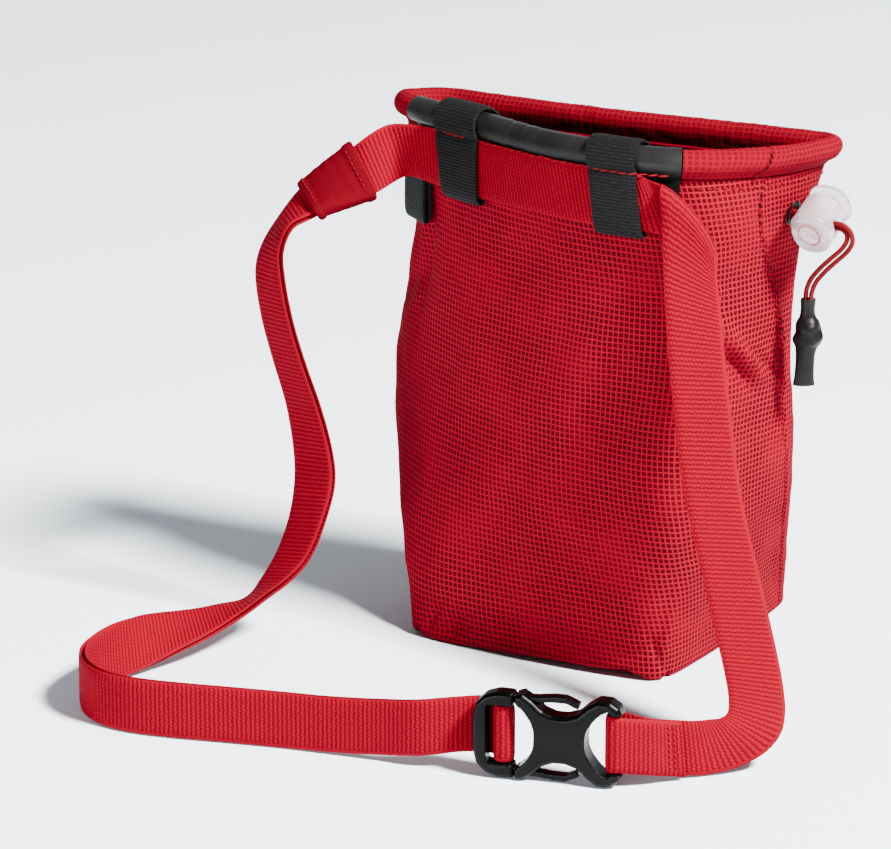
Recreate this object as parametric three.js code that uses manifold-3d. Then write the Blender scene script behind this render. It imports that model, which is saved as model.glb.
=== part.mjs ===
// Climbing chalk bag standing on its square bottom, with its waist belt laid on the floor.
// Millimetres, +Z up. Origin: centre of the bottom, on the floor. The belt side faces -Y.

import * as THREE from "three";
import { mergeVertices } from "three/addons/utils/BufferGeometryUtils.js";
import Module from "manifold-3d";

const wasm = await Module();
wasm.setup();

// Driving sizes of the bag
const HALF_BASE = 51;
const HOOP_HEIGHT = 182;
const HOOP_TILT = 0.062;
const ROLL_TALL = 10.2;
const ROLL_HALF = 4.3;
const CLOTH = 2.0;
const LINING = 1.0;
const GAP = 0.3;
const AROUND = 52;

// Driving sizes of the webbing
const WEB_WIDE = 19;
const WEB_THICK = 1.3;
const LAYER_STEP = WEB_THICK + GAP;
const FLAP_DROP = 14;
const FLAP_THICK = 1.0;
const LOOP_WIDE = 20.5;
const LOOP_THICK = 1.2;
const BELT_OUT = 3.8;

// Driving sizes of the buckle
const BUCKLE_LONG = 49.5;
const BUCKLE_TALL = 30;
const BUCKLE_THICK = 8;

// Driving sizes of the drawcord and its lock
const STRAND = 1.7;
const LOCK_LONG = 14;
const LOCK_WIDE = 14;
const LOCK_TALL = 16;
const BORE_RADIUS = 4.6;
const PLUNGER_RADIUS = 4.25;
const TRAVEL = 2;
const CORD_END_LONG = 30;

const v3 = (x, y, z) => new THREE.Vector3(x, y, z);
const rad = THREE.MathUtils.degToRad;

// Plan outlines at four heights, as shares of HALF_BASE, from the left tip round the belt side.
// Columns: foot x, foot y, belly x, belly y, neck x, neck y, hoop x, hoop y.
const PLAN = [
  [-1.00, -0.80, -1.57, -0.12, -1.41, -0.10, -1.52, -0.05], // left tip
  [-0.94, -0.94, -1.25, -0.43, -1.18, -0.34, -1.25, -0.28], // left corner
  [-0.75, -1.00, -0.56, -0.80, -0.59, -0.68, -0.80, -0.45], // belt side, left
  [0.75, -1.00, 0.33, -1.02, 0.37, -0.95, 0.18, -0.85], // belt side, middle
  [0.94, -0.94, 1.10, -0.98, 1.02, -0.94, 0.98, -0.84], // right corner
  [1.00, -0.80, 1.22, -0.82, 1.17, -0.80, 1.39, -0.37], // right side, near
  [1.00, 0.75, 1.40, 0.02, 1.40, 0.03, 1.53, 0.09], // right side, far
  [0.94, 0.94, 1.36, 0.22, 1.37, 0.21, 1.50, 0.36], // far right corner
  [0.75, 1.00, 1.15, 0.42, 1.13, 0.36, 1.14, 0.38], // front, right
  [-0.75, 1.00, -0.20, 0.36, -0.18, 0.31, -0.16, 0.24], // front, middle
  [-0.94, 0.94, -1.12, 0.20, -0.98, 0.20, -0.92, 0.22], // front, left
  [-1.00, 0.75, -1.42, 0.12, -1.28, 0.13, -1.37, 0.19], // left, far
];

// Heights of those outlines, as shares of HOOP_HEIGHT.
const PLAN_HEIGHTS = [0.013, 0.418, 0.77, 0.978];

// Soft folds. Columns: place round the bag (row of PLAN), height share, length, width, lean, out.
const FOLDS = [
  { at: 5.45, high: 0.625, long: 15, wide: 4.0, lean: -48, out: 2.2 },
  { at: 5.3, high: 0.585, long: 12, wide: 3.5, lean: -48, out: -2.0 },
  { at: 1.05, high: 0.68, long: 20, wide: 4.0, lean: 88, out: -1.6 },
  { at: 0.55, high: 0.64, long: 12, wide: 5.0, lean: 40, out: -2.0 },
  { at: 2.15, high: 0.03, long: 6, wide: 4.0, lean: 70, out: -1.6 },
  { at: 4.1, high: 0.14, long: 16, wide: 4.5, lean: 80, out: -1.8 },
  { at: 6.3, high: 0.57, long: 34, wide: 24, lean: 0, out: -2.2 },
];

// Cross-section of the rolled rim. Columns: height above the wall, distance outward.
const ROLL = [
  [GAP, 0],
  [1.6, 1.0],
  [3.4, 3.5],
  [5.9, ROLL_HALF],
  [8.6, 3.1],
  [ROLL_TALL, 0],
  [8.6, -3.1],
  [5.9, -ROLL_HALF],
  [3.4, -4.2],
  [1.6, -3.9],
  [GAP, -3.6],
];

// Smooth curve through the values of a short column, with its own spacing.
function ease(values, knots, t) {
  const last = knots.length - 1;
  let i = 0;
  while (i < last - 1 && t > knots[i + 1]) i += 1;
  const slope = (k) => (values[k + 1] - values[k]) / (knots[k + 1] - knots[k]);
  const tangent = (k) => {
    if (k === 0) return slope(0);
    if (k === last) return slope(last - 1);
    return (slope(k - 1) + slope(k)) / 2;
  };
  const h = knots[i + 1] - knots[i];
  const s = (t - knots[i]) / h;
  const a = (1 + 2 * s) * (1 - s) ** 2 * values[i];
  const b = s * (1 - s) ** 2 * h * tangent(i);
  const c = s * s * (3 - 2 * s) * values[i + 1];
  const d = s * s * (s - 1) * h * tangent(i + 1);
  return a + b + c + d;
}

const planCurves = new Map();

function planCurve(z) {
  const key = Math.round(z * 100);
  if (!planCurves.has(key)) {
    const points = PLAN.map((row) => {
      const x = ease([row[0], row[2], row[4], row[6]], PLAN_HEIGHTS, z / HOOP_HEIGHT);
      const y = ease([row[1], row[3], row[5], row[7]], PLAN_HEIGHTS, z / HOOP_HEIGHT);
      return v3(x * HALF_BASE, y * HALF_BASE, 0);
    });
    planCurves.set(key, new THREE.CatmullRomCurve3(points, true, "centripetal"));
  }
  return planCurves.get(key);
}

function planPoint(at, z) {
  const t = (((at / PLAN.length) % 1) + 1) % 1;
  return planCurve(z).getPoint(t);
}

function planNormal(at, z) {
  const ahead = planPoint(at + 0.04, z);
  const behind = planPoint(at - 0.04, z);
  const along = ahead.sub(behind).normalize();
  return v3(along.y, -along.x, 0);
}

function foldOut(at, z) {
  let sum = 0;
  for (const fold of FOLDS) {
    const mm = planPoint(fold.at, z).distanceTo(planPoint(at, z)) * Math.sign(at - fold.at);
    const up = z - fold.high * HOOP_HEIGHT;
    const c = Math.cos(rad(fold.lean));
    const s = Math.sin(rad(fold.lean));
    const p = (mm * c + up * s) / fold.long;
    const q = (up * c - mm * s) / fold.wide;
    sum += fold.out * Math.exp(-p * p - q * q);
  }
  return sum;
}

// Point on the bag wall: place round the bag, height, distance outward.
function wall(at, z, out) {
  const p = planPoint(at, z).addScaledVector(planNormal(at, z), out);
  p.z = z;
  return p;
}

const hoopTop = (at) => HOOP_HEIGHT - HOOP_TILT * (planPoint(at, HOOP_HEIGHT * 0.978).y + 3);
const wallTop = (at) => hoopTop(at) - ROLL_TALL;

// Solid from rings of points. Ends closed with a fan, or with the given triangles.
function skin(rings, { closed = false, cap = null, turned = () => false } = {}) {
  const n = rings[0].length;
  const points = rings.flat();
  const index = [];
  const last = closed ? rings.length : rings.length - 1;
  for (let i = 0; i < last; i += 1) {
    const a = i * n;
    const b = ((i + 1) % rings.length) * n;
    for (let j = 0; j < n; j += 1) {
      const k = (j + 1) % n;
      if (turned(i, j)) index.push(a + j, a + k, b + j, a + k, b + k, b + j);
      else index.push(a + j, a + k, b + k, a + j, b + k, b + j);
    }
  }
  if (!closed) {
    for (const [ring, start, flip] of [[rings[0], 0, true], [rings.at(-1), points.length - n, false]]) {
      if (cap) {
        for (const [i, j, k] of cap) {
          index.push(start + i, start + (flip ? k : j), start + (flip ? j : k));
        }
      } else {
        const middle = ring.reduce((sum, p) => sum.add(p), v3(0, 0, 0)).divideScalar(n);
        const centre = points.push(middle) - 1;
        for (let j = 0; j < n; j += 1) {
          const k = (j + 1) % n;
          index.push(centre, start + (flip ? k : j), start + (flip ? j : k));
        }
      }
    }
  }
  const geometry = new THREE.BufferGeometry().setFromPoints(points);
  geometry.setIndex(index);
  return outward(geometry);
}

function volume(geometry) {
  const p = geometry.attributes.position;
  const ix = geometry.index;
  let sum = 0;
  for (let i = 0; i < ix.count; i += 3) {
    const [a, b, c] = [0, 1, 2].map((k) => v3().fromBufferAttribute(p, ix.getX(i + k)));
    sum += a.dot(b.cross(c)) / 6;
  }
  return sum;
}

function outward(geometry) {
  if (volume(geometry) < 0) {
    const array = geometry.index.array;
    for (let i = 0; i < array.length; i += 3) {
      [array[i + 1], array[i + 2]] = [array[i + 2], array[i + 1]];
    }
  }
  return geometry;
}

function toSolid(geometry) {
  const bare = geometry.clone();
  bare.deleteAttribute("normal");
  bare.deleteAttribute("uv");
  const merged = mergeVertices(bare, 1e-4);
  return new wasm.Manifold(new wasm.Mesh({
    numProp: 3,
    vertProperties: new Float32Array(merged.attributes.position.array),
    triVerts: new Uint32Array(merged.index.array),
  }));
}

function fromSolid(solid) {
  const mesh = solid.getMesh();
  const geometry = new THREE.BufferGeometry();
  geometry.setAttribute("position", new THREE.BufferAttribute(new Float32Array(mesh.vertProperties), 3));
  geometry.setIndex(Array.from(mesh.triVerts));
  return geometry;
}

const group = new THREE.Group();

function add(name, geometry, color, roughness, metalness = 0) {
  const material = new THREE.MeshStandardMaterial({ color, roughness, metalness });
  const mesh = new THREE.Mesh(geometry, material);
  mesh.name = name;
  group.add(mesh);
}

const RED_CLOTH = 0xb3182c;
const RED_WEB = 0xd4062c;
const BLACK = 0x262324;
const PLASTIC = 0x1c1b1c;
const CLEAR = 0xe6dcdc;

// Bag wall and lining: cups that follow the plan outlines.
const places = Array.from({ length: AROUND }, (_, i) => (i * PLAN.length) / AROUND);
const OUTER_LEVELS = [0.045, 0.1, 0.17, 0.26, 0.35, 0.44, 0.53, 0.6, 0.66, 0.72, 0.8, 0.88, 0.95, 1];
const INNER_LEVELS = [0.08, 0.22, 0.36, 0.5, 0.62, 0.72, 0.82, 0.92, 1];

function cup(levelsOut, out, levelsIn, inner, floorLow, floorHigh) {
  const at = (place, share, d) => {
    const z = share * wallTop(place);
    return wall(place, z, d + foldOut(place, z));
  };
  const rings = [];
  rings.push(places.map((p) => wall(p, floorLow, out - 1.6)));
  rings.push(places.map((p) => wall(p, floorLow + 1.6, out)));
  for (const share of levelsOut) rings.push(places.map((p) => at(p, share, out)));
  for (const share of levelsIn.toReversed()) rings.push(places.map((p) => at(p, share, inner)));
  rings.push(places.map((p) => wall(p, floorHigh + 1.4, inner)));
  rings.push(places.map((p) => wall(p, floorHigh, inner - 1.2)));
  return skin(rings, { turned: (i) => i >= levelsOut.length + 2 });
}

add("bag_shell", cup(OUTER_LEVELS, 0, INNER_LEVELS, -CLOTH, 0, CLOTH), RED_CLOTH, 0.75);
const liningOut = -CLOTH - GAP - 0.3;
add(
  "bag_lining",
  cup(INNER_LEVELS, liningOut, INNER_LEVELS, liningOut - LINING, CLOTH + GAP, CLOTH + GAP + LINING),
  BLACK,
  0.9,
);

// Rim: a red roll on three sides and a black gripping roll on the belt side.
const GRIP_FROM = 0.85;
const GRIP_TO = 4.06;
const END_GAP = 0.012;

function rimRoll(from, to, steps, grow, flap) {
  const outline = ROLL.map(([up, out]) => {
    const lift = up > GAP && up < ROLL_TALL ? 0 : Math.sign(up - GAP) * grow;
    return new THREE.Vector2(out + Math.sign(out) * (up > 3 ? grow : 0), up + lift);
  });
  if (flap) {
    outline[0].set(GAP + FLAP_THICK, GAP);
    outline.push(new THREE.Vector2(-0.3, GAP + 0.9));
    outline.push(new THREE.Vector2(GAP, GAP));
    outline.push(new THREE.Vector2(GAP, -FLAP_DROP / 2));
    outline.push(new THREE.Vector2(GAP, -FLAP_DROP));
    outline.push(new THREE.Vector2(GAP + FLAP_THICK, -FLAP_DROP));
    outline.push(new THREE.Vector2(GAP + FLAP_THICK, -FLAP_DROP / 2));
  }
  const cap = THREE.ShapeUtils.triangulateShape(outline, []);
  const rings = [];
  for (let i = 0; i <= steps; i += 1) {
    const place = from + ((to - from) * i) / steps;
    const base = wallTop(place);
    rings.push(outline.map((q) => {
      const z = base + q.y;
      return wall(place, z, q.x + (q.y < 0 ? foldOut(place, z) : 0));
    }));
  }
  return skin(rings, { cap });
}

add("rim_binding", rimRoll(GRIP_TO + END_GAP, GRIP_FROM + 12 - END_GAP, 46, 0, false), RED_CLOTH, 0.7);
add("rim_grip", rimRoll(GRIP_FROM, GRIP_TO, 24, 0.5, true), BLACK, 0.85);

// Belt loops: webbing that passes over the rim, down in front of the belt and up behind it.
// Columns: distance outward, height above the wall top.
const LOOP_PATH = [
  [-4.4, -5.0],
  [-4.8, -1.0],
  [-5.7, 2.5],
  [-6.2, 5.9],
  [-4.9, 9.9],
  [0, 12.0],
  [4.9, 9.9],
  [6.2, 6.0],
  [5.9, 2.0],
  [5.7, -3.0],
  [5.7, -9.0],
  [5.7, -14.5],
  [5.2, -17.3],
  [3.9, -18.5],
  [2.7, -17.5],
  [2.25, -15.0],
  [2.25, -8.0],
  [2.25, -2.5],
];

function beltLoop(middle) {
  const curve = new THREE.CatmullRomCurve3(LOOP_PATH.map(([out, up]) => v3(out, up, 0)), false, "centripetal");
  const steps = 30;
  const across = 3;
  const step = wall(middle + 0.05, 160, 0).distanceTo(wall(middle - 0.05, 160, 0)) / 0.1;
  const half = LOOP_WIDE / 2 / step;
  const rings = [];
  for (let i = 0; i <= steps; i += 1) {
    const c = curve.getPoint(i / steps);
    const t = curve.getTangent(i / steps);
    const side = (sign, k) => {
      const place = middle + half * ((2 * k) / across - 1);
      const out = c.x + sign * -t.y * (LOOP_THICK / 2);
      const up = c.y + sign * t.x * (LOOP_THICK / 2);
      return wall(place, wallTop(place) + up, out);
    };
    const ring = [];
    for (let k = 0; k <= across; k += 1) ring.push(side(1, k));
    for (let k = across; k >= 0; k -= 1) ring.push(side(-1, k));
    rings.push(ring);
  }
  const cap = [];
  const last = 2 * across + 1;
  for (let k = 0; k < across; k += 1) cap.push([k, k + 1, last - k], [k + 1, last - k - 1, last - k]);
  return skin(rings, { cap });
}

const LOOP_LEFT = 1.93;
const LOOP_RIGHT = 3.53;
add("belt_loop_left", beltLoop(LOOP_LEFT), BLACK, 0.8);
add("belt_loop_right", beltLoop(LOOP_RIGHT), BLACK, 0.8);

// Buckle frame: along the buckle, forward towards the viewer, up.
const BUCKLE_AT = v3(37.6, -151.8, 0);
const BUCKLE_TURN = 16;
const alongBuckle = v3(Math.cos(rad(BUCKLE_TURN)), Math.sin(rad(BUCKLE_TURN)), 0);
const forwardBuckle = v3(alongBuckle.y, -alongBuckle.x, 0);
const BELT_RISE = BUCKLE_TALL / 2;

function inBuckle(a, b, z) {
  return BUCKLE_AT.clone().addScaledVector(alongBuckle, a).addScaledVector(forwardBuckle, b).setZ(z);
}

// Belt stations: centre and the direction from its upper or left edge to its other edge.
const station = (c, w) => ({ c, w: w.clone().normalize() });
const DOWN = v3(0, 0, -1);

// Right run, from the buckle over the floor and up to the fold by the right loop.
// Columns: centre x, y, z, edge direction x, y, z.
const RIGHT_RUN = [
  [90.2, -133.2, 13.6, 0.0, 0.0, -1.0],
  [94.8, -125.5, 11.4, 0.05, 0.03, -1.0],
  [101.2, -118.3, 10.0, 0.12, 0.07, -0.99],
  [106.7, -111.6, 10.4, 0.4, 0.24, -0.88],
  [111.2, -106.5, 12.4, 0.66, 0.4, -0.64],
  [113.0, -102.0, 15.6, 0.8, 0.47, -0.37],
  [111.9, -98.3, 20.0, 0.84, 0.5, -0.22],
  [109.1, -94.5, 25.2, 0.85, 0.5, -0.14],
  [104.8, -90.0, 32.2, 0.86, 0.51, -0.08],
  [97.0, -83.0, 44.9, 0.86, 0.51, -0.04],
  [89.5, -76.6, 58.0, 0.86, 0.51, -0.04],
  [81.6, -70.6, 73.0, 0.86, 0.51, -0.04],
  [74.9, -65.0, 90.0, 0.86, 0.51, -0.04],
  [69.9, -60.0, 106.0, 0.86, 0.51, -0.02],
  [65.2, -55.6, 121.0, 0.86, 0.51, -0.02],
  [61.2, -51.9, 135.0, 0.86, 0.51, -0.06],
];

// Left run, from the left loop through the keeper and down to the floor beside the bag.
const LEFT_RUN = [
  [-68.6, -22.4, 165.6, 0.38, -0.04, -0.92],
  [-72.2, -26.2, 163.6, 0.44, -0.04, -0.89],
  [-76.7, -32.6, 159.4, 0.62, -0.22, -0.75],
  [-82.2, -38.5, 155.2, 0.74, -0.41, -0.53],
  [-88.2, -44.4, 150.7, 0.74, -0.6, -0.3],
  [-92.0, -48.4, 146.8, 0.72, -0.68, -0.13],
  [-95.4, -52.1, 142.6, 0.66, -0.74, 0.03],
  [-98.2, -56.2, 134.4, 0.76, -0.64, 0.08],
  [-98.1, -58.5, 126.2, 0.86, -0.5, 0.08],
  [-94.6, -59.9, 110.9, 0.89, -0.44, 0.1],
  [-89.4, -60.0, 95.2, 0.91, -0.41, 0.1],
  [-83.9, -59.9, 80.4, 0.92, -0.36, 0.11],
  [-79.6, -60.7, 63.9, 0.96, -0.25, 0.12],
  [-78.4, -62.1, 54.0, 0.96, -0.22, 0.14],
  [-79.6, -65.2, 41.2, 0.93, -0.3, 0.2],
  [-82.8, -70.0, 28.0, 0.92, -0.34, 0.22],
  [-87.0, -75.2, 19.8, 0.84, -0.45, 0.28],
  [-90.6, -79.6, 15.0, 0.72, -0.62, 0.3],
  [-93.4, -84.4, 12.2, 0.66, -0.73, 0.2],
  [-97.0, -92.4, 10.6, 0.66, -0.75, 0.0],
  [-100.6, -102.4, 9.6, 0.66, -0.72, -0.2],
  [-105.0, -114.2, 9.4, 0.6, -0.64, -0.46],
  [-109.0, -126.0, 9.4, 0.42, -0.44, -0.78],
  [-111.6, -138.4, 9.7, 0.16, -0.16, -0.97],
  [-111.6, -151.0, 9.9, 0.0, 0.0, -1.0],
  [-108.2, -162.6, 9.9, 0.0, 0.0, -1.0],
  [-100.8, -172.0, 9.9, 0.0, 0.0, -1.0],
  [-90.6, -177.9, 9.9, 0.0, 0.0, -1.0],
  [-78.6, -179.2, 9.9, 0.0, 0.0, -1.0],
  [-64.0, -176.4, 9.9, 0.0, 0.0, -1.0],
  [-46.0, -170.9, 9.9, 0.0, 0.0, -1.0],
  [-28.0, -165.6, 9.9, 0.0, 0.0, -1.0],
  [-10.0, -161.6, 10.3, 0.0, 0.0, -1.0],
  [8.0, -158.2, 11.8, 0.0, 0.0, -1.0],
  [21.0, -156.6, 13.6, 0.0, 0.0, -1.0],
];

// Belt on the back panel, between the loops. Columns: place round the bag, distance outward.
const ON_PANEL = [
  [3.62, BELT_OUT],
  [3.35, BELT_OUT],
  [3.0, BELT_OUT],
  [2.6, BELT_OUT],
  [2.2, BELT_OUT],
  [1.9, BELT_OUT],
  [1.65, BELT_OUT],
  [1.42, BELT_OUT + 0.4],
];
const BELT_BELOW_TOP = 7.0;

// Fold beside the right loop. Columns, for the upper and then the lower edge: layer, along, height.
const FOLD_AT = v3(47, -50.6, 0);
const foldAlong = v3(0.87, 0.493, 0);
const foldForward = v3(foldAlong.y, -foldAlong.x, 0);
const FOLD_RULES = [
  [4.4, 2.8, 148.0, 4.6, 21.6, 139.0],
  [4.2, 2.4, 157.5, 4.4, 21.6, 142.0],
  [3.8, 1.8, 165.0, 4.3, 21.5, 144.5],
  [3.2, 1.2, 170.5, 4.1, 21.3, 146.2],
  [2.4, 1.4, 173.2, 3.6, 21.6, 147.4],
  [1.2, 1.8, 174.3, 2.6, 22.1, 148.2],
  [0.0, 1.3, 174.4, 1.6, 21.5, 148.1],
  [-0.9, -0.2, 174.6, 1.2, 19.4, 148.1],
  [-2.4, -2.6, 175.3, 1.9, 13.0, 151.8],
  [-4.0, -5.6, 176.5, 1.5, 3.0, 157.4],
];

const web = (c, w) => ({
  left: c.clone().addScaledVector(w, -WEB_WIDE / 2),
  right: c.clone().addScaledVector(w, WEB_WIDE / 2),
});

const fromRow = ([x, y, z, a, b, c]) => {
  const s = station(v3(x, y, z), v3(a, b, c));
  return web(s.c, s.w);
};

function inFold([d1, a1, z1, d2, a2, z2]) {
  const at = (d, a) => FOLD_AT.clone().addScaledVector(foldAlong, a).addScaledVector(foldForward, d);
  return { left: at(d1, a1).setZ(z1), right: at(d2, a2).setZ(z2) };
}

function onPanel([place, out]) {
  const z = wallTop(place) - BELT_BELOW_TOP;
  const up = z + WEB_WIDE / 2;
  const low = z - WEB_WIDE / 2;
  const head = wall(place, up, out);
  const foot = wall(place, low, out);
  return { left: head, right: foot };
}

// Resample a run of edge pairs into closely spaced ones.
function runOf(pairs, per) {
  const left = new THREE.CatmullRomCurve3(pairs.map((p) => p.left), false, "centripetal");
  const right = new THREE.CatmullRomCurve3(pairs.map((p) => p.right), false, "centripetal");
  const steps = (pairs.length - 1) * per;
  const out = [];
  for (let i = 0; i <= steps; i += 1) {
    out.push({ left: left.getPoint(i / steps), right: right.getPoint(i / steps) });
  }
  return out;
}

const middleOf = (pair) => pair.left.clone().add(pair.right).multiplyScalar(0.5);

function faceNormals(run) {
  return run.map((pair, i) => {
    const ahead = middleOf(run[Math.min(i + 1, run.length - 1)]);
    const behind = middleOf(run[Math.max(i - 1, 0)]);
    const across = pair.right.clone().sub(pair.left);
    return ahead.sub(behind).cross(across).normalize();
  });
}

function moved(run, normals, d) {
  return run.map((pair, i) => ({
    left: pair.left.clone().addScaledVector(normals[i], d),
    right: pair.right.clone().addScaledVector(normals[i], d),
  }));
}

const ladder = (rows) => rows.map(([a, b]) => web(inBuckle(a, b, BELT_RISE), DOWN));

// Round the bar at the right end: stitched end in front, belt leaving behind.
// Columns: distance from the right end of the buckle, forward.
const BAR_TURN = [
  [-0.7, 2.3], [-1.9, 2.6], [-3.3, 2.7], [-4.9, 2.1], [-5.6, 0], [-4.9, -2.1], [-3.3, -2.7], [-0.1, -3.0],
].map(([a, b]) => [BUCKLE_LONG + a, b]);
// Behind the outer bar, through the slot, over the ladder bar and back behind.
const LADDER_TURN = [
  [-6, -2.8], [-1, -4.6], [3.4, -4.9], [6.0, -4.0], [6.9, -1.2], [7.8, 1.6], [9.9, 2.4],
  [12.0, 1.7], [12.9, -0.6], [12.0, -2.9], [9.9, -4.2], [7.6, -5.6], [3.4, -6.5], [-1, -6.2],
];

const rightRows = RIGHT_RUN.map(fromRow);
const leftRows = LEFT_RUN.map(fromRow);
const mainPairs = [
  ...ladder([BAR_TURN.at(-1)]),
  ...rightRows,
  ...FOLD_RULES.map(inFold),
  ...ON_PANEL.map(onPanel),
  ...leftRows,
  ...ladder(LADDER_TURN.slice(0, 1)),
];
const mainRun = runOf(mainPairs, 2);
const mainNormals = faceNormals(mainRun);

const STITCHED_ROWS = 4;
const sewnRun = mainRun.slice(2, 2 + STITCHED_ROWS);
const stitchedEnd = moved(sewnRun, mainNormals.slice(2), -LAYER_STEP).toReversed();
const barRun = runOf(ladder(BAR_TURN), 2).slice(1, -1);
const ladderRun = runOf(ladder(LADDER_TURN), 2).slice(1);
const keeperRow = 1 + RIGHT_RUN.length + FOLD_RULES.length + ON_PANEL.length + 4;
const tailStart = keeperRow * 2 - 1;
const tailEnd = moved(mainRun.slice(tailStart, -1), mainNormals.slice(tailStart, -1), LAYER_STEP).toReversed();
const beltRun = [...stitchedEnd, ...barRun, ...mainRun, ...ladderRun, ...tailEnd];

// The layers run both ways, so their faces are split along the same diagonals.
const mainStart = stitchedEnd.length + barRun.length;
const mainEnd = mainStart + mainRun.length;
const alongMain = (i) => i >= mainStart - 1 && i < mainEnd;

function ribbon(run, thick) {
  const normals = faceNormals(run);
  const rings = run.map((pair, i) => {
    const n = normals[i];
    const h = thick / 2;
    return [
      pair.left.clone().addScaledVector(n, h),
      pair.right.clone().addScaledVector(n, h),
      pair.right.clone().addScaledVector(n, -h),
      pair.left.clone().addScaledVector(n, -h),
    ];
  });
  return skin(rings, { turned: (i, j) => (j === 2) === alongMain(i) });
}

add("waist_belt", ribbon(beltRun, WEB_THICK), RED_WEB, 0.65);

// Keeper: a short cloth sleeve round the belt and its free end, hemmed at both ends.
function keeper() {
  const first = (keeperRow - 2) * 2;
  const run = mainRun.slice(first, first + 6);
  const normals = mainNormals.slice(first, first + 6);
  const shape = (i, room) => {
    const pair = run[i];
    const across = pair.right.clone().sub(pair.left).normalize();
    const middle = middleOf(pair).addScaledVector(normals[i], LAYER_STEP / 2);
    const w = WEB_WIDE / 2 + room;
    const h = WEB_THICK / 2 + LAYER_STEP / 2 + room;
    const corner = Math.min(1.2, h * 0.6);
    const ring = [
      [-w, -h + corner], [-w + corner, -h], [w - corner, -h], [w, -h + corner],
      [w, h - corner], [w - corner, h], [-w + corner, h], [-w, h - corner],
    ];
    return ring.map(([a, b]) => middle.clone().addScaledVector(across, a).addScaledVector(normals[i], b));
  };
  const room = 0.8;
  const sheet = [1.5, 0.9, 0.9, 0.9, 0.9, 1.5];
  const rings = sheet.map((t, i) => shape(i, room + t));
  for (let i = run.length - 1; i >= 0; i -= 1) rings.push(shape(i, room));
  return skin(rings, { closed: true, turned: (i, j) => (j === 5) !== i >= run.length });
}

add("belt_keeper", keeper(), RED_CLOTH, 0.75);

// Side tab: black webbing folded over at its foot, hanging behind the belt on the left.
const TAB_PLACE = 0.86;
const TAB_WIDE = 16;
const TAB_TALL = 18;
const TAB_TOP = wallTop(TAB_PLACE) - FLAP_DROP - 2 * GAP;
const TAB_FOOT = TAB_TOP - TAB_TALL;

function sideTab() {
  const thick = 1.2;
  const path = [[1.3, TAB_TOP], [1.3, TAB_FOOT + 3], [1.7, TAB_FOOT + 1], [2.4, TAB_FOOT + 0.6],
    [3.1, TAB_FOOT + 1], [3.5, TAB_FOOT + 3], [3.5, TAB_TOP]];
  const top = wall(TAB_PLACE, TAB_TOP - 6, 0);
  const n = planNormal(TAB_PLACE, TAB_TOP);
  const t = v3(-n.y, n.x, 0);
  const curve = new THREE.CatmullRomCurve3(path.map(([out, z]) => v3(out, z, 0)), false, "centripetal");
  const steps = 14;
  const rings = [];
  for (let i = 0; i <= steps; i += 1) {
    const c = curve.getPoint(i / steps);
    const along = curve.getTangent(i / steps);
    const corner = (sign, side) => {
      const out = c.x - sign * along.y * (thick / 2);
      const z = c.y + sign * along.x * (thick / 2);
      return top.clone().addScaledVector(t, (side * TAB_WIDE) / 2).addScaledVector(n, out).setZ(z);
    };
    rings.push([corner(1, -1), corner(1, 1), corner(-1, 1), corner(-1, -1)]);
  }
  return skin(rings);
}

add("side_tab", sideTab(), BLACK, 0.85);

// Flat plastic plate drawn along the buckle and up, with its holes.
function plate(outline, holes, thick, bevel) {
  const shape = new THREE.Shape(outline.map(([a, z]) => new THREE.Vector2(a, z)));
  for (const hole of holes) shape.holes.push(new THREE.Path(hole.map(([a, z]) => new THREE.Vector2(a, z))));
  const geometry = new THREE.ExtrudeGeometry(shape, {
    depth: thick - 2 * bevel,
    bevelEnabled: bevel > 0,
    bevelThickness: bevel,
    bevelSize: bevel,
    bevelOffset: -bevel,
    bevelSegments: 1,
    curveSegments: 4,
  });
  geometry.translate(0, 0, -(thick - 2 * bevel) / 2);
  return geometry;
}

function smooth(points, per) {
  const curve = new THREE.CatmullRomCurve3(points.map(([a, z]) => v3(a, z, 0)), true, "centripetal");
  return curve.getPoints(points.length * per).slice(0, -1).map((p) => [p.x, p.y]);
}

// Tables of the buckle: shares of its length and height. The lower half mirrors the upper one.
const inSize = ([a, z]) => [a * BUCKLE_LONG, z * BUCKLE_TALL];
const bothHalves = (upper) => [...upper, ...upper.toReversed().map(([a, z]) => [a, 1 - z])].map(inSize);

const SPLIT = 0.28;
const SOCKET_EDGE = bothHalves([
  [SPLIT, 0.53], [SPLIT, 0.8], [0.285, 0.965], [0.335, 0.99], [0.4, 0.92], [0.47, 0.815], [0.54, 0.77],
  [0.62, 0.768], [0.7, 0.81], [0.765, 0.91], [0.835, 0.985], [0.915, 0.98], [0.975, 0.915], [1.0, 0.825],
  [1.0, 0.53],
]);
const LEFT_HOLE = bothHalves([[0.2, 0.87], [0.3, 0.86], [0.38, 0.72], [0.41, 0.6]]);
const RIGHT_HOLE = bothHalves([[0.92, 0.87], [0.86, 0.84], [0.79, 0.71], [0.755, 0.59]]);
const PLUG_EDGE = bothHalves([
  [0.274, 0.8], [0.274, 0.98], [0.17, 0.985], [0.087, 0.94], [0.026, 0.84], [0.004, 0.68],
]);

// Spring arm of the plug: it leaves the plug, bows out of the socket and ends in the far lobe.
const ARM_TOP = [[0.19, 0.955], [0.34, 0.95], [0.43, 0.955], [0.53, 0.975], [0.62, 0.975], [0.71, 0.91]];
const ARM_LOW = [[0.7, 0.845], [0.62, 0.905], [0.53, 0.905], [0.445, 0.885], [0.34, 0.875], [0.19, 0.88]];

const FRAME_SIDE = (BUCKLE_TALL - WEB_WIDE - 1) / 2;
const BAR_THICK = 2.8;

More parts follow.
